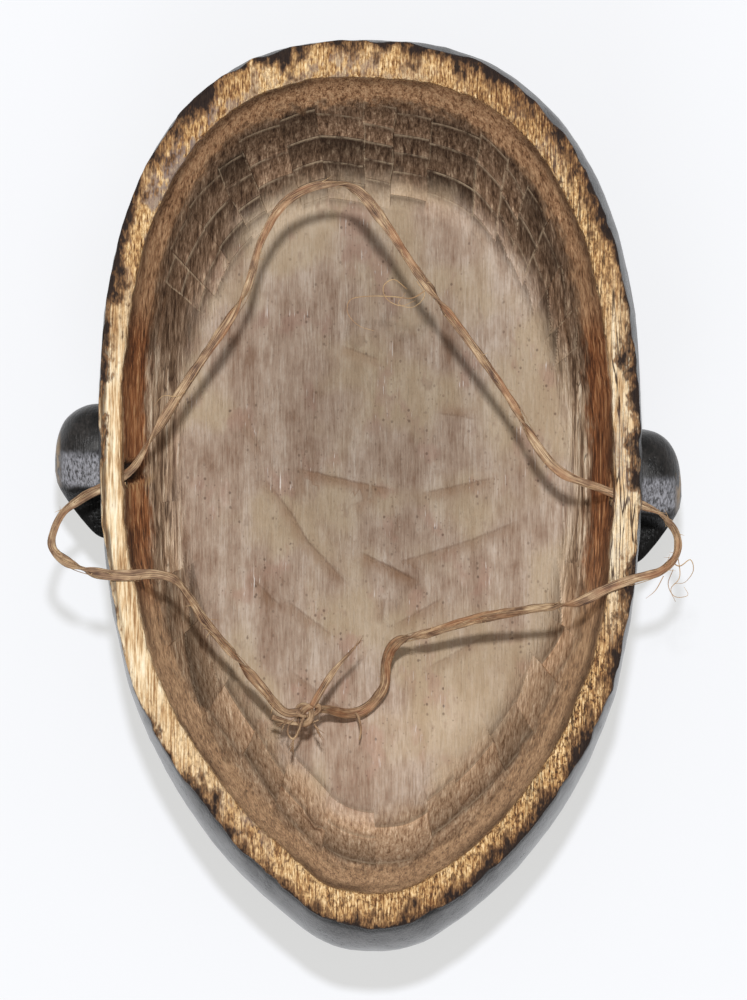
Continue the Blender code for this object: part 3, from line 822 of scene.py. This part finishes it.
def sphereMesh(across, along, place):
    bm = bmesh.new()
    bmesh.ops.create_uvsphere(bm, u_segments=across, v_segments=along, radius=1)
    for vertex in bm.verts:
        vertex.co = place(vertex.co)
    bmesh.ops.recalc_face_normals(bm, faces=bm.faces)
    return bm


def earMesh(side, direction):
    base = maskShape["halfWidth"] - ears["seat"]
    reach = ears["span"] / 2 - base
    middle = Vector((direction * base, ears["middle"][side], maskShape["rimHeight"] - ears["drop"]))

    def earPlace(corner):
        outward, up, back = (math.copysign(abs(share) ** (2 / ears["fullness"]), share) for share in corner)
        length = reach * (1 - ears["taper"] * smoothStep(0, -1, up)) if outward > 0 else ears["root"]
        fall = 0
        if back > 0:
            # The back is cut in three planes: level, then sloping, then steep above the lobe
            wobble = 0.04 * wave(outward * 2, up * 3, direction)
            bevel = (ears["bevelFrom"] + wobble - up) / (ears["bevelFrom"] - ears["bevelTo"])
            lobe = (ears["bevelTo"] + wobble - 0.08 * outward - up) / (ears["bevelTo"] - ears["lobeTo"])
            fall = ears["bevelFall"] * min(max(bevel, 0), 1) + ears["lobeFall"] * min(max(lobe, 0), 1)
        place = Vector((direction * outward * length, up * ears["height"] / 2,
                        back * (1 - fall) * ears["thickness"] / 2))
        cells = noise.voronoi((place + middle) / 9)[0]
        place *= 1 - 0.016 + 0.02 * min(cells[0], 1) ** 2
        return place + middle

    return sphereMesh(ears["across"], ears["along"], earPlace)


def cupMesh(side, direction):
    base = maskShape["halfWidth"] - ears["seat"]
    reach = ears["span"] / 2 - base
    middle = Vector((direction * (base + reach / 2 - ears["edge"] / 2), ears["middle"][side],
                     maskShape["rimHeight"] - ears["drop"] - ears["thickness"] / 2))
    half = Vector((reach / 2 - ears["edge"] / 2, ears["height"] / 2 - ears["edge"], ears["cupDepth"]))
    return sphereMesh(36, 20, lambda corner: middle + corner * half)


def holeMesh(side):
    level = maskShape["rimHeight"] - holes["drop"]
    inside, outside = Vector((*holes["inside"][side], level)), Vector((*holes["outside"][side], level))
    axis = (outside - inside).normalized()
    length = (outside - inside).length + 2 * holes["overrun"]
    turned = axis.to_track_quat("Z", "Y")
    bm = bmesh.new()
    bmesh.ops.create_cone(bm, cap_ends=True, segments=holes["sides"], radius1=holes["diameter"] / 2,
                          radius2=holes["diameter"] / 2, depth=length)
    for vertex in bm.verts:
        worn = 1 + holes["wear"] * wave(vertex.co.x, vertex.co.y, length)
        vertex.co = turned @ Vector((vertex.co.x * worn, vertex.co.y * worn, vertex.co.z))
        vertex.co += (inside + outside) / 2
    return bm


def helperObject(name, meshes):
    # One object of several closed meshes, used to cut or to join
    whole = bpy.data.meshes.new(name)
    joined = bmesh.new()
    for bm in meshes:
        bm.transform(placeMatrix())
        part = bpy.data.meshes.new("part")
        bm.to_mesh(part)
        bm.free()
        joined.from_mesh(part)
        bpy.data.meshes.remove(part)
    joined.to_mesh(whole)
    joined.free()
    placed = bpy.data.objects.new(name, whole)
    bpy.context.scene.collection.objects.link(placed)
    return placed


def placeMatrix():
    return Matrix.Scale(mm, 4) @ Matrix.Translation((rimPlace.x, rimPlace.y, 0))


def applyBoolean(target, other, operation):
    modifier = target.modifiers.new(other.name, "BOOLEAN")
    modifier.operation = operation
    modifier.object = other
    modifier.solver = "EXACT"


def earMarks(place):
    # The ears' outer edge is rubbed bare; the sloping plane gets a painted sheen and the steep one below it
    # painted shade
    side = "left" if place.x < 0 else "right"
    up = (place.y - ears["middle"][side]) / (ears["height"] / 2)
    above = place.z - (maskShape["rimHeight"] - ears["drop"])
    reach = ears["span"] / 2
    worn = smoothStep(reach - 2.6, reach - 0.6, abs(place.x)) * bell(above - 0.36 * ears["thickness"], 5)
    sheen = smoothStep(ears["bevelFrom"] + 0.05, ears["bevelFrom"] - 0.07, up)
    sheen *= smoothStep(ears["bevelTo"] - 0.02, ears["bevelTo"] + 0.05, up) * smoothStep(1, 5, above)
    sheen *= smoothStep(reach, reach - 4, abs(place.x))
    shade = smoothStep(ears["bevelTo"] + 0.03, ears["bevelTo"] - 0.05, up)
    return {"worn": worn * smoothStep(-0.6, -0.4, up), "sheen": sheen, "shade": shade}


def makeMask(woodLook):
    mesh, layers = carveShell()
    block = bpy.data.objects.new("block", mesh)
    bpy.context.scene.collection.objects.link(block)
    sides = (("left", -1), ("right", 1))
    helpers = [helperObject("ears", [earMesh(side, direction) for side, direction in sides]),
               helperObject("cups", [cupMesh(side, direction) for side, direction in sides]),
               helperObject("holes", [holeMesh(side) for side, _ in sides])]
    for helper, operation in zip(helpers, ("UNION", "DIFFERENCE", "DIFFERENCE")):
        applyBoolean(block, helper, operation)
    finished = bpy.data.meshes.new_from_object(block.evaluated_get(bpy.context.evaluated_depsgraph_get()))
    finished.name = "mask_carving"
    print("ears joined and holes cut,", len(finished.polygons), "faces")

    # Every vertex of the shell keeps its marks; those of an ear or a hole count as outside, or get painted
    # shade in the hole's bore
    tree = KDTree(len(mesh.vertices))
    for vertex in mesh.vertices:
        tree.insert(vertex.co, vertex.index)
    tree.balance()
    level = maskShape["rimHeight"] - holes["drop"]
    holeMiddles = [placeMatrix() @ Vector((x, y, level)) for x, y in holes["inside"].values()]
    values = {name: [] for name in layers}
    for vertex in finished.vertices:
        _, index, distance = tree.find(vertex.co)
        marks = {name: layers[name][index] for name in layers}
        if distance > 0.02 * mm:
            nearHole = min((vertex.co - middle).length for middle in holeMiddles) < 11 * mm
            if nearHole and abs(vertex.co.x) < 83 * mm:
                marks["bore"] = 1
            else:
                marks.update(outward=5, fromRim=-20, ledge=0, ridge=0, stroke=0, bore=0,
                             **earMarks(vertex.co / mm - Vector((rimPlace.x, rimPlace.y, 0))))
        for name in layers:
            values[name].append(marks[name])
    for name in layers:
        layer = finished.attributes.new(name, "FLOAT", "POINT")
        layer.data.foreach_set("value", values[name])
    for helper in helpers + [block]:
        bpy.data.objects.remove(helper)
    finished.shade_smooth()
    finished.set_sharp_from_angle(angle=math.radians(32))
    finished.materials.clear()
    finished.materials.append(woodLook)
    addPiece("mask_carving", finished, "carved_wood", "mask")


def srgb(red, green, blue):
    return tuple(((part / 255 + 0.055) / 1.055) ** 2.4 for part in (red, green, blue)) + (1,)


currentMaterial = {}


def newMaterial(name):
    # The nodes made from here on go into this material
    material = bpy.data.materials.new(name)
    material.use_nodes = True
    currentMaterial["tree"] = material.node_tree
    return material, material.node_tree.nodes["Principled BSDF"]


def setSocket(node, name, value):
    if isinstance(value, bpy.types.NodeSocket):
        currentMaterial["tree"].links.new(value, node.inputs[name])
    else:
        node.inputs[name].default_value = value


def addNode(kind, sockets=None, **settings):
    node = currentMaterial["tree"].nodes.new("ShaderNode" + kind)
    for name, value in settings.items():
        setattr(node, name, value)
    for name, value in (sockets or {}).items():
        setSocket(node, name, value)
    return node


def calculate(operation, first, second=0.0, third=0.0):
    return addNode("Math", {0: first, 1: second, 2: third}, operation=operation).outputs[0]


def times(first, *others):
    for value in others:
        first = calculate("MULTIPLY", first, value)
    return first


def weigh(*pairs):
    # The sum of values, each times its weight
    total = None
    for value, weight in pairs:
        part = times(value, weight)
        total = part if total is None else calculate("ADD", total, part)
    return total


def less(value):
    return calculate("SUBTRACT", 1.0, value)


def offHalf(value):
    return calculate("SUBTRACT", value, 0.5)


def stretch(value, factor):
    # More contrast round one half
    return calculate("MULTIPLY_ADD", value, factor, 0.5 - factor / 2)


def rise(value, low, high):
    # 0 below low, 1 above high, smooth between
    return addNode("MapRange", {"Value": value, "From Min": low, "From Max": high},
                   interpolation_type="SMOOTHSTEP").outputs["Result"]


def fall(value, low, high):
    return less(rise(value, low, high))


def mixColour(factor, first, second, blend="MIX"):
    return addNode("Mix", {0: factor, 6: first, 7: second}, data_type="RGBA", blend_type=blend).outputs[2]


def mixValue(factor, first, second):
    return addNode("Mix", {0: factor, 2: first, 3: second}, data_type="FLOAT").outputs[0]


def colourRamp(value, stops):
    node = addNode("ValToRGB", {"Fac": value})
    elements = node.color_ramp.elements
    while len(elements) < len(stops):
        elements.new(0.5)
    for element, (place, colour) in zip(elements, stops):
        element.position = place
        element.color = srgb(*colour)
    return node.outputs["Color"]


def scaled(coordinates, size, seed):
    # Coordinates in lumps about as large as size, in millimetres
    return addNode("Mapping", {"Vector": coordinates, "Scale": tuple(1000 / part for part in size),
                               "Location": (seed * 3.1, seed * 1.7, seed * 2.3)}).outputs["Vector"]


def grain(coordinates, size, detail, roughness, seed):
    return addNode("TexNoise", {"Vector": scaled(coordinates, size, seed), "Scale": 1.0, "Detail": detail,
                                "Roughness": roughness}).outputs["Fac"]


def cracksIn(value, width):
    # Thin lines where a noise passes through one half
    return fall(calculate("ABSOLUTE", offHalf(value)), width * 0.3, width)


def dots(coordinates, spacing, size, share, seed):
    # Small round dots, at a share of the places of a scattered flat net
    node = addNode("TexVoronoi", {"Vector": scaled(coordinates, spacing, seed), "Scale": 1.0},
                   voronoi_dimensions="2D")
    chosen = addNode("SeparateColor", {"Color": node.outputs["Color"]}).outputs[0]
    return times(fall(node.outputs["Distance"], size * 0.4, size), rise(chosen, 1 - share, 1.02 - share))


def mark(name):
    return addNode("Attribute", attribute_name=name).outputs["Fac"]


def addBump(shader, height, strength, distance):
    bumpNode = addNode("Bump", {"Strength": strength, "Distance": distance, "Height": height})
    setSocket(shader, "Normal", bumpNode.outputs["Normal"])


# Colours of the wood, from the darkest streak to the palest, as seen in daylight
woodColours = {
    "rim": ((0.30, (156, 118, 80)), (0.43, (206, 172, 130)), (0.55, (232, 208, 170)),
            (0.72, (246, 230, 202))),
    "rimEnd": ((0.30, (104, 68, 42)), (0.43, (168, 126, 80)), (0.55, (212, 174, 122)),
               (0.70, (244, 216, 170))),
    "rimBrown": ((0.32, (46, 33, 27)), (0.48, (88, 61, 42)), (0.62, (130, 94, 62)), (0.76, (172, 132, 90))),
    "redBand": ((0.28, (60, 35, 24)), (0.44, (126, 78, 48)), (0.58, (172, 116, 76)), (0.74, (216, 170, 124))),
    "tanBand": ((0.28, (96, 66, 46)), (0.46, (172, 132, 98)), (0.68, (214, 176, 138))),
    "sideWall": ((0.28, (100, 79, 62)), (0.43, (158, 132, 108)), (0.56, (198, 174, 148)),
                 (0.72, (238, 221, 197))),
    # The crown wall's colours are darkened by painted shade, the chin wall's below lightened by painted light
    "shadedCrownWall": ((0.28, (56, 40, 30)), (0.44, (92, 71, 54)), (0.60, (124, 101, 82)),
                  (0.76, (166, 144, 120))),
    "litChinWall": ((0.28, (124, 94, 70)), (0.46, (168, 138, 110)), (0.62, (194, 166, 138)),
                 (0.78, (222, 200, 172))),
    "floor": ((0.32, (134, 108, 90)), (0.50, (170, 150, 133)), (0.66, (200, 185, 171))),
    "patina": ((0.32, (13, 13, 14)), (0.48, (29, 27, 26)), (0.60, (48, 44, 42)), (0.74, (88, 84, 84))),
}
# Tints laid over the wood. Some are painted light and shade: shade in the hole bores, under the ledges, just
# below the rim and on the ears' steep planes; highlights on the ledges and crests; a sheen on the ears;
# glints on the floor; light on the chin side of the band
woodTints = {
    "tan": (176, 156, 126), "pink": (164, 132, 118), "smudge": (128, 100, 80), "speck": (84, 66, 54),
    "paintedGlint": (222, 218, 214), "scorch": (38, 30, 28), "ledge": (186, 166, 140), "bore": (40, 30, 26),
    "worn": (196, 162, 116), "stain": (132, 118, 114), "strokeLine": (92, 66, 48),
    "strokeShade": (126, 95, 70), "crackAndShade": (58, 40, 30), "sheen": (158, 158, 165), "shade": (5, 5, 5),
    "paintedChinLight": (236, 214, 180),
}
# Each noise in the wood: lump size, detail, roughness and seed
woodNoises = {
    "fine": ((0.5, 8, 1.8), 2, 0.6, 0), "bristle": ((0.5, 2.2, 0.6), 2, 0.6, 9),
    "crumbs": ((0.9, 1.4, 0.9), 2, 0.6, 5), "long": ((1.5, 45, 4.5), 2, 0.6, 2),
    "lines": ((2.2, 34, 5), 2, 0.5, 8), "patch": ((4, 8, 5), 3, 0.65, 6), "broad": ((6, 60, 14), 2, 0.5, 3),
    "smudge": ((11, 17, 11), 3, 0.55, 10), "blotch": ((30, 36, 30), 2, 0.5, 7),
}
# The dots on the floor: spacing, size, share of the net, strength and seed
woodDots = ((2.7, 0.20, 0.19, 0.65, 1), (1.3, 0.26, 0.15, 0.45, 3))
# Bare wood and patina: roughness and how far the grain stands out; then the thin shine on the patina
woodFinish = {"roughness": (0.80, 0.36), "unevenGloss": 0.7, "relief": (0.85, 0.5), "reliefDepth": 0.6,
              "specular": 0.15, "coatRoughness": 0.32, "coatBend": 1.52}


def paintWood():
    material, shader = newMaterial("carvedWood")
    place = addNode("TexCoord").outputs["Object"]
    colours = {name: srgb(*colour) for name, colour in woodTints.items()}
    fine, bristle, crumbs, long, lines, patch, broad, smudge, blotch = (
        grain(place, *noiseSizes) for noiseSizes in woodNoises.values())
    fromRim, outward, wallShare, lowLeft = (
        mark(name) for name in ("fromRim", "outward", "wallShare", "lowLeft"))
    sideways, rightward, crownward, chinward = (
        mark(name) for name in ("sideways", "rightward", "crownward", "chinward"))

    def ramp(value, name):
        return colourRamp(value, woodColours[name])

    def over(surface, share, tint):
        return mixColour(share, surface, colours[tint])

    # The floor of the hollow, and its walls up to the band; the crown wall's colours hold painted shade and
    # the chin wall's painted light
    floor = ramp(stretch(weigh((fine, 0.22), (broad, 0.28), (blotch, 0.25), (patch, 0.25)), 1.6), "floor")
    floor = over(floor, times(rise(blotch, 0.46, 0.60), 0.55), "tan")
    floor = over(floor, times(rise(smudge, 0.55, 0.68), 0.5), "pink")
    floor = over(floor, times(rise(patch, 0.56, 0.72), 0.4), "smudge")
    streaks = stretch(weigh((fine, 0.5), (long, 0.5)), 1.5)
    sideStreaks = stretch(weigh((fine, 0.35), (long, 0.65)), 2.0)
    wall = mixColour(chinward, ramp(sideStreaks, "sideWall"), ramp(streaks, "litChinWall"))
    wall = mixColour(crownward, wall, ramp(streaks, "shadedCrownWall"))
    hollow = mixColour(rise(weigh((wallShare, 1.0), (offHalf(smudge), 0.5)), 0.0, 0.42), floor, wall)
    # The cut tones, with the painted shade at the top of each cut, darken or lighten the hollow
    tone = calculate("MULTIPLY_ADD", mark("cutTone"), 0.36, 1.0)
    greyTone = addNode("CombineColor", {0: tone, 1: tone, 2: tone}).outputs[0]
    hollow = mixColour(1.0, hollow, greyTone, "MULTIPLY")

    # Below each ledge a painted shade, on it a thin painted highlight, and painted highlights on the crests
    # between the columns of cuts
    ledge = mark("ledge")
    belowLedge = calculate("ADD", mark("belowLedge"), times(offHalf(crumbs), 0.5))
    hollow = over(hollow, times(ledge, fall(belowLedge, 0.5, 2.4), 0.4), "crackAndShade")
    ledgeHighlight = times(ledge, fall(belowLedge, 0.15, 0.95), rise(patch, 0.32, 0.56), 0.65)
    hollow = over(hollow, ledgeHighlight, "ledge")
    brokenCrestHighlight = rise(weigh((patch, 0.6), (crumbs, 0.4)), 0.42, 0.52)
    hollow = over(hollow, times(rise(mark("ridge"), 0.35, 0.9), brokenCrestHighlight, 0.7), "ledge")
    sideLines = times(cracksIn(lines, 0.022), sideways, rise(wallShare, 0.1, 0.4), 0.65)
    hollow = over(hollow, sideLines, "crackAndShade")

    # Strokes on the floor: shade on one side of a thin line
    stroke = mark("stroke")
    strokeOff = weigh((mark("strokeOff"), 1.0), (offHalf(patch), 0.9))
    strokeSide = times(stroke, rise(strokeOff, -0.5, 0.5), fall(strokeOff, 0.6, 5.0), 0.62)
    hollow = over(hollow, strokeSide, "strokeShade")
    nearStroke = fall(calculate("ABSOLUTE", strokeOff), 0.10, 0.55)
    strokeLine = times(stroke, nearStroke, rise(crumbs, 0.3, 0.5), 0.42)
    hollow = over(hollow, strokeLine, "strokeLine")

    # Dark dots on the floor, and pale painted glints
    onFloor = fall(wallShare, 0.0, 0.3)
    speckled = rise(smudge, 0.42, 0.60)
    for spacing, size, share, strength, seed in woodDots:
        spots = dots(place, (spacing, spacing * 1.2, spacing * 3), size, share, seed)
        hollow = over(hollow, times(spots, strength, speckled, onFloor), "speck")
    hollow = over(hollow, times(rise(fine, 0.64, 0.70), rise(smudge, 0.56, 0.64), onFloor, 0.6), "paintedGlint")

    # The brown band below the rim, red at the sides and tan at crown and chin, dark at its ragged lower edge
    bandTone = weigh((stretch(weigh((fine, 0.55), (long, 0.45)), 1.9), 0.8), (patch, 0.2))
    band = mixColour(rise(sideways, 0.1, 0.8), ramp(bandTone, "tanBand"), ramp(bandTone, "redBand"))
    # Painted light: the band is paler on the chin side, which faces the lamp
    band = over(band, times(chinward, 0.16), "paintedChinLight")
    bandEdge = calculate("ADD", fromRim, times(offHalf(patch), 8.0))
    darkEdge = times(rise(bandEdge, 4.0, 6.6), fall(bandEdge, 6.6, 8.6), 0.55, rise(smudge, 0.4, 0.55))
    band = over(band, darkEdge, "crackAndShade")
    # Painted shade just below the rim's inner edge
    band = over(band, times(fall(fromRim, 0.3, 2.6), rise(blotch, 0.42, 0.55), 0.6), "crackAndShade")
    hollow = mixColour(rise(bandEdge, 5.0, 8.2), band, hollow)
    # Painted shade in the holes and in the scoops round their mouths
    hollow = over(hollow, mark("bore"), "bore")
    hollow = over(hollow, times(mark("worn"), rise(fine, 0.4, 0.6), 0.8), "worn")

    # The bare sawn rim: long streaks at the sides, short bristles at the crown and chin
    endGrain, plainSide = less(sideways), less(lowLeft)
    sideTone = stretch(weigh((fine, 0.40), (long, 0.40), (patch, 0.20)), 2.0)
    endTone = stretch(weigh((fine, 0.30), (bristle, 0.40), (patch, 0.15), (blotch, 0.15)), 2.1)
    rim = mixColour(times(endGrain, plainSide), ramp(sideTone, "rim"), ramp(endTone, "rimEnd"))
    brown = ramp(stretch(weigh((fine, 0.35), (bristle, 0.65)), 1.7), "rimBrown")
    dotted = weigh((endGrain, 0.45), (chinward, 0.35), (rightward, 0.2))
    rim = mixColour(times(rise(crumbs, 0.52, 0.60), dotted, plainSide, 0.9), rim, brown)
    rim = over(rim, times(cracksIn(lines, 0.03), weigh((rightward, 0.75), (sideways, 0.2))), "crackAndShade")
    leftLine = calculate("SUBTRACT", weigh((outward, 1.0), (offHalf(long), 0.25)), 0.2)
    rim = over(rim, times(cracksIn(leftLine, 0.08), sideways, less(rightward), 0.8), "crackAndShade")
    rim = over(rim, times(mark("stain"), rise(patch, 0.44, 0.58), fall(outward, 0.45, 0.8), 0.85), "stain")
    border = weigh((outward, 1.0), (mark("wearStart"), -1.0), (offHalf(patch), 1.5), (offHalf(smudge), 1.1),
                   (offHalf(bristle), 0.4))
    rim = mixColour(times(rise(border, -0.06, 0.14), 0.92), rim, brown)
    rim = over(rim, times(rise(border, 0.17, 0.32), 0.95), "scorch")
    rimEdge = calculate("ADD", fromRim, times(offHalf(bristle), 1.8))
    surface = mixColour(rise(rimEdge, -0.3, 0.4), rim, hollow)

    # The dark patina outside, darkest just below the rim, bare at the ears' edges, with a painted sheen on
    # the ears' sloping planes and painted shade on their steep planes
    patina = ramp(weigh((patch, 0.5), (blotch, 0.15), (crumbs, 0.35)), "patina")
    besideRim, shade, sheen = fall(outward, 1.15, 1.6), mark("shade"), mark("sheen")
    patina = over(patina, times(besideRim, 0.85), "shade")
    # Painted sheen on the ears' sloping planes, broken up
    brokenPaintedSheen = rise(weigh((crumbs, 0.35), (bristle, 0.65)), 0.32, 0.66)
    patina = over(patina, times(sheen, brokenPaintedSheen, 0.95), "sheen")
    # Painted shade on the ears' steep planes
    patina = over(patina, times(shade, 0.9), "shade")
    rubbed = times(mark("worn"), rise(patch, 0.40, 0.52))
    patina = over(patina, rubbed, "worn")
    outside = rise(weigh((outward, 1.0), (offHalf(patch), 0.4)), 0.90, 0.99)
    setSocket(shader, "Base Color", mixColour(outside, surface, patina))

    # Bare wood is dull; the patina shines a little, unevenly
    lumps = weigh((patch, 0.5), (crumbs, 0.5))
    gloss = mixValue(outside, *woodFinish["roughness"])
    gloss = calculate("MULTIPLY_ADD", offHalf(lumps), woodFinish["unevenGloss"], gloss)
    setSocket(shader, "Roughness", gloss)
    uneven = calculate("MULTIPLY_ADD", rise(lumps, 0.38, 0.58), 0.55, 0.45)
    shine = weigh((times(chinward, uneven), 0.62), (sheen, 0.4), (outside, 0.36))
    setSocket(shader, "Coat Weight", times(outside, less(rubbed), less(shade), less(besideRim), shine))
    setSocket(shader, "Specular IOR Level", woodFinish["specular"])
    setSocket(shader, "Coat Roughness", woodFinish["coatRoughness"])
    setSocket(shader, "Coat IOR", woodFinish["coatBend"])
    relief = weigh((fine, 1.1), (crumbs, 0.8), (patch, 0.8))
    addBump(shader, relief, mixValue(outside, *woodFinish["relief"]), woodFinish["reliefDepth"] * mm)
    return material


bastColours = {
    "strip": ((0.28, (70, 48, 36)), (0.40, (116, 86, 63)), (0.50, (152, 121, 92)), (0.62, (182, 152, 118)),
              (0.76, (216, 192, 156))),
    "fibre": ((0.3, (128, 88, 58)), (0.7, (214, 184, 138))),
    "rust": (164, 108, 68),
}
# Noises along the bast: how many lumps go round it and in each 100 mm of it, and their detail
bastNoises = {"streak": ((34, 9, 1), 3.0), "patch": ((2, 16, 1), 2.0), "wide": ((1, 4, 1), 2.0)}


def paintBast(name, stops, strength):
    # Fibres run along the strip: u goes round it and v along it
    material, shader = newMaterial(name)
    along = addNode("TexCoord").outputs["UV"]
    noises = []
    for size, detail in bastNoises.values():
        lumps = addNode("Mapping", {"Vector": along, "Scale": size}).outputs["Vector"]
        noises.append(addNode("TexNoise", {"Vector": lumps, "Scale": 1.0, "Detail": detail,
                                           "Roughness": 0.6}).outputs["Fac"])
    streak, patch, wide = noises
    tone = stretch(weigh((streak, 0.62), (patch, 0.38)), 1.9)
    rusty = times(rise(wide, 0.5, 0.62), 0.4)
    setSocket(shader, "Base Color", mixColour(rusty, colourRamp(tone, stops), srgb(*bastColours["rust"])))
    setSocket(shader, "Roughness", 0.7)
    addBump(shader, streak, strength, 0.4 * mm)
    return material


# White paper that glows a little, a soft lamp beyond the crown and a pale panel beyond the chin
studio = {
    "floorSize": 40000, "floorColour": (154, 157, 166), "glowColour": (1, 0.99, 0.95), "glow": 0.55,
    "world": 0.41, "worldColour": (1, 0.99, 0.965),
    "lamps": {
        "lamp": {"place": (0, 405, 2310), "size": 105, "power": 41},
        "panel": {"place": (-150, -1150, 1150), "size": 620, "power": 4.0},
    },
}


def makeStudio():
    bm = bmesh.new()
    bmesh.ops.create_grid(bm, x_segments=1, y_segments=1, size=studio["floorSize"] / 2 * mm)
    mesh = bpy.data.meshes.new("paper")
    bm.to_mesh(mesh)
    bm.free()
    paper = bpy.data.objects.new("paper", mesh)
    bpy.context.scene.collection.objects.link(paper)
    material, shader = newMaterial("paper")
    setSocket(shader, "Base Color", srgb(*studio["floorColour"]))
    setSocket(shader, "Roughness", 0.9)
    setSocket(shader, "Emission Color", (*studio["glowColour"], 1))
    setSocket(shader, "Emission Strength", studio["glow"])
    mesh.materials.append(material)

    world = bpy.data.worlds.new("daylight")
    world.use_nodes = True
    setSocket(world.node_tree.nodes["Background"], "Strength", studio["world"])
    setSocket(world.node_tree.nodes["Background"], "Color", (*studio["worldColour"], 1))
    bpy.context.scene.world = world

    for name, spec in studio["lamps"].items():
        lamp = bpy.data.lights.new(name, "AREA")
        lamp.shape = "DISK"
        lamp.size = spec["size"] * mm
        lamp.energy = spec["power"]
        placed = bpy.data.objects.new(name, lamp)
        placed.location = Vector(spec["place"]) * mm
        placed.rotation_euler = (-placed.location).to_track_quat("-Z", "Y").to_euler()
        bpy.context.scene.collection.objects.link(placed)
    bpy.context.scene.view_settings.view_transform = "Standard"
    print("studio set")


placeCamera()
bastLook = paintBast("twistedBast", bastColours["strip"], 0.6)
makeBast(bastLook, paintBast("strayFibre", bastColours["fibre"], 0.2))
makeMask(paintWood())
makeStudio()
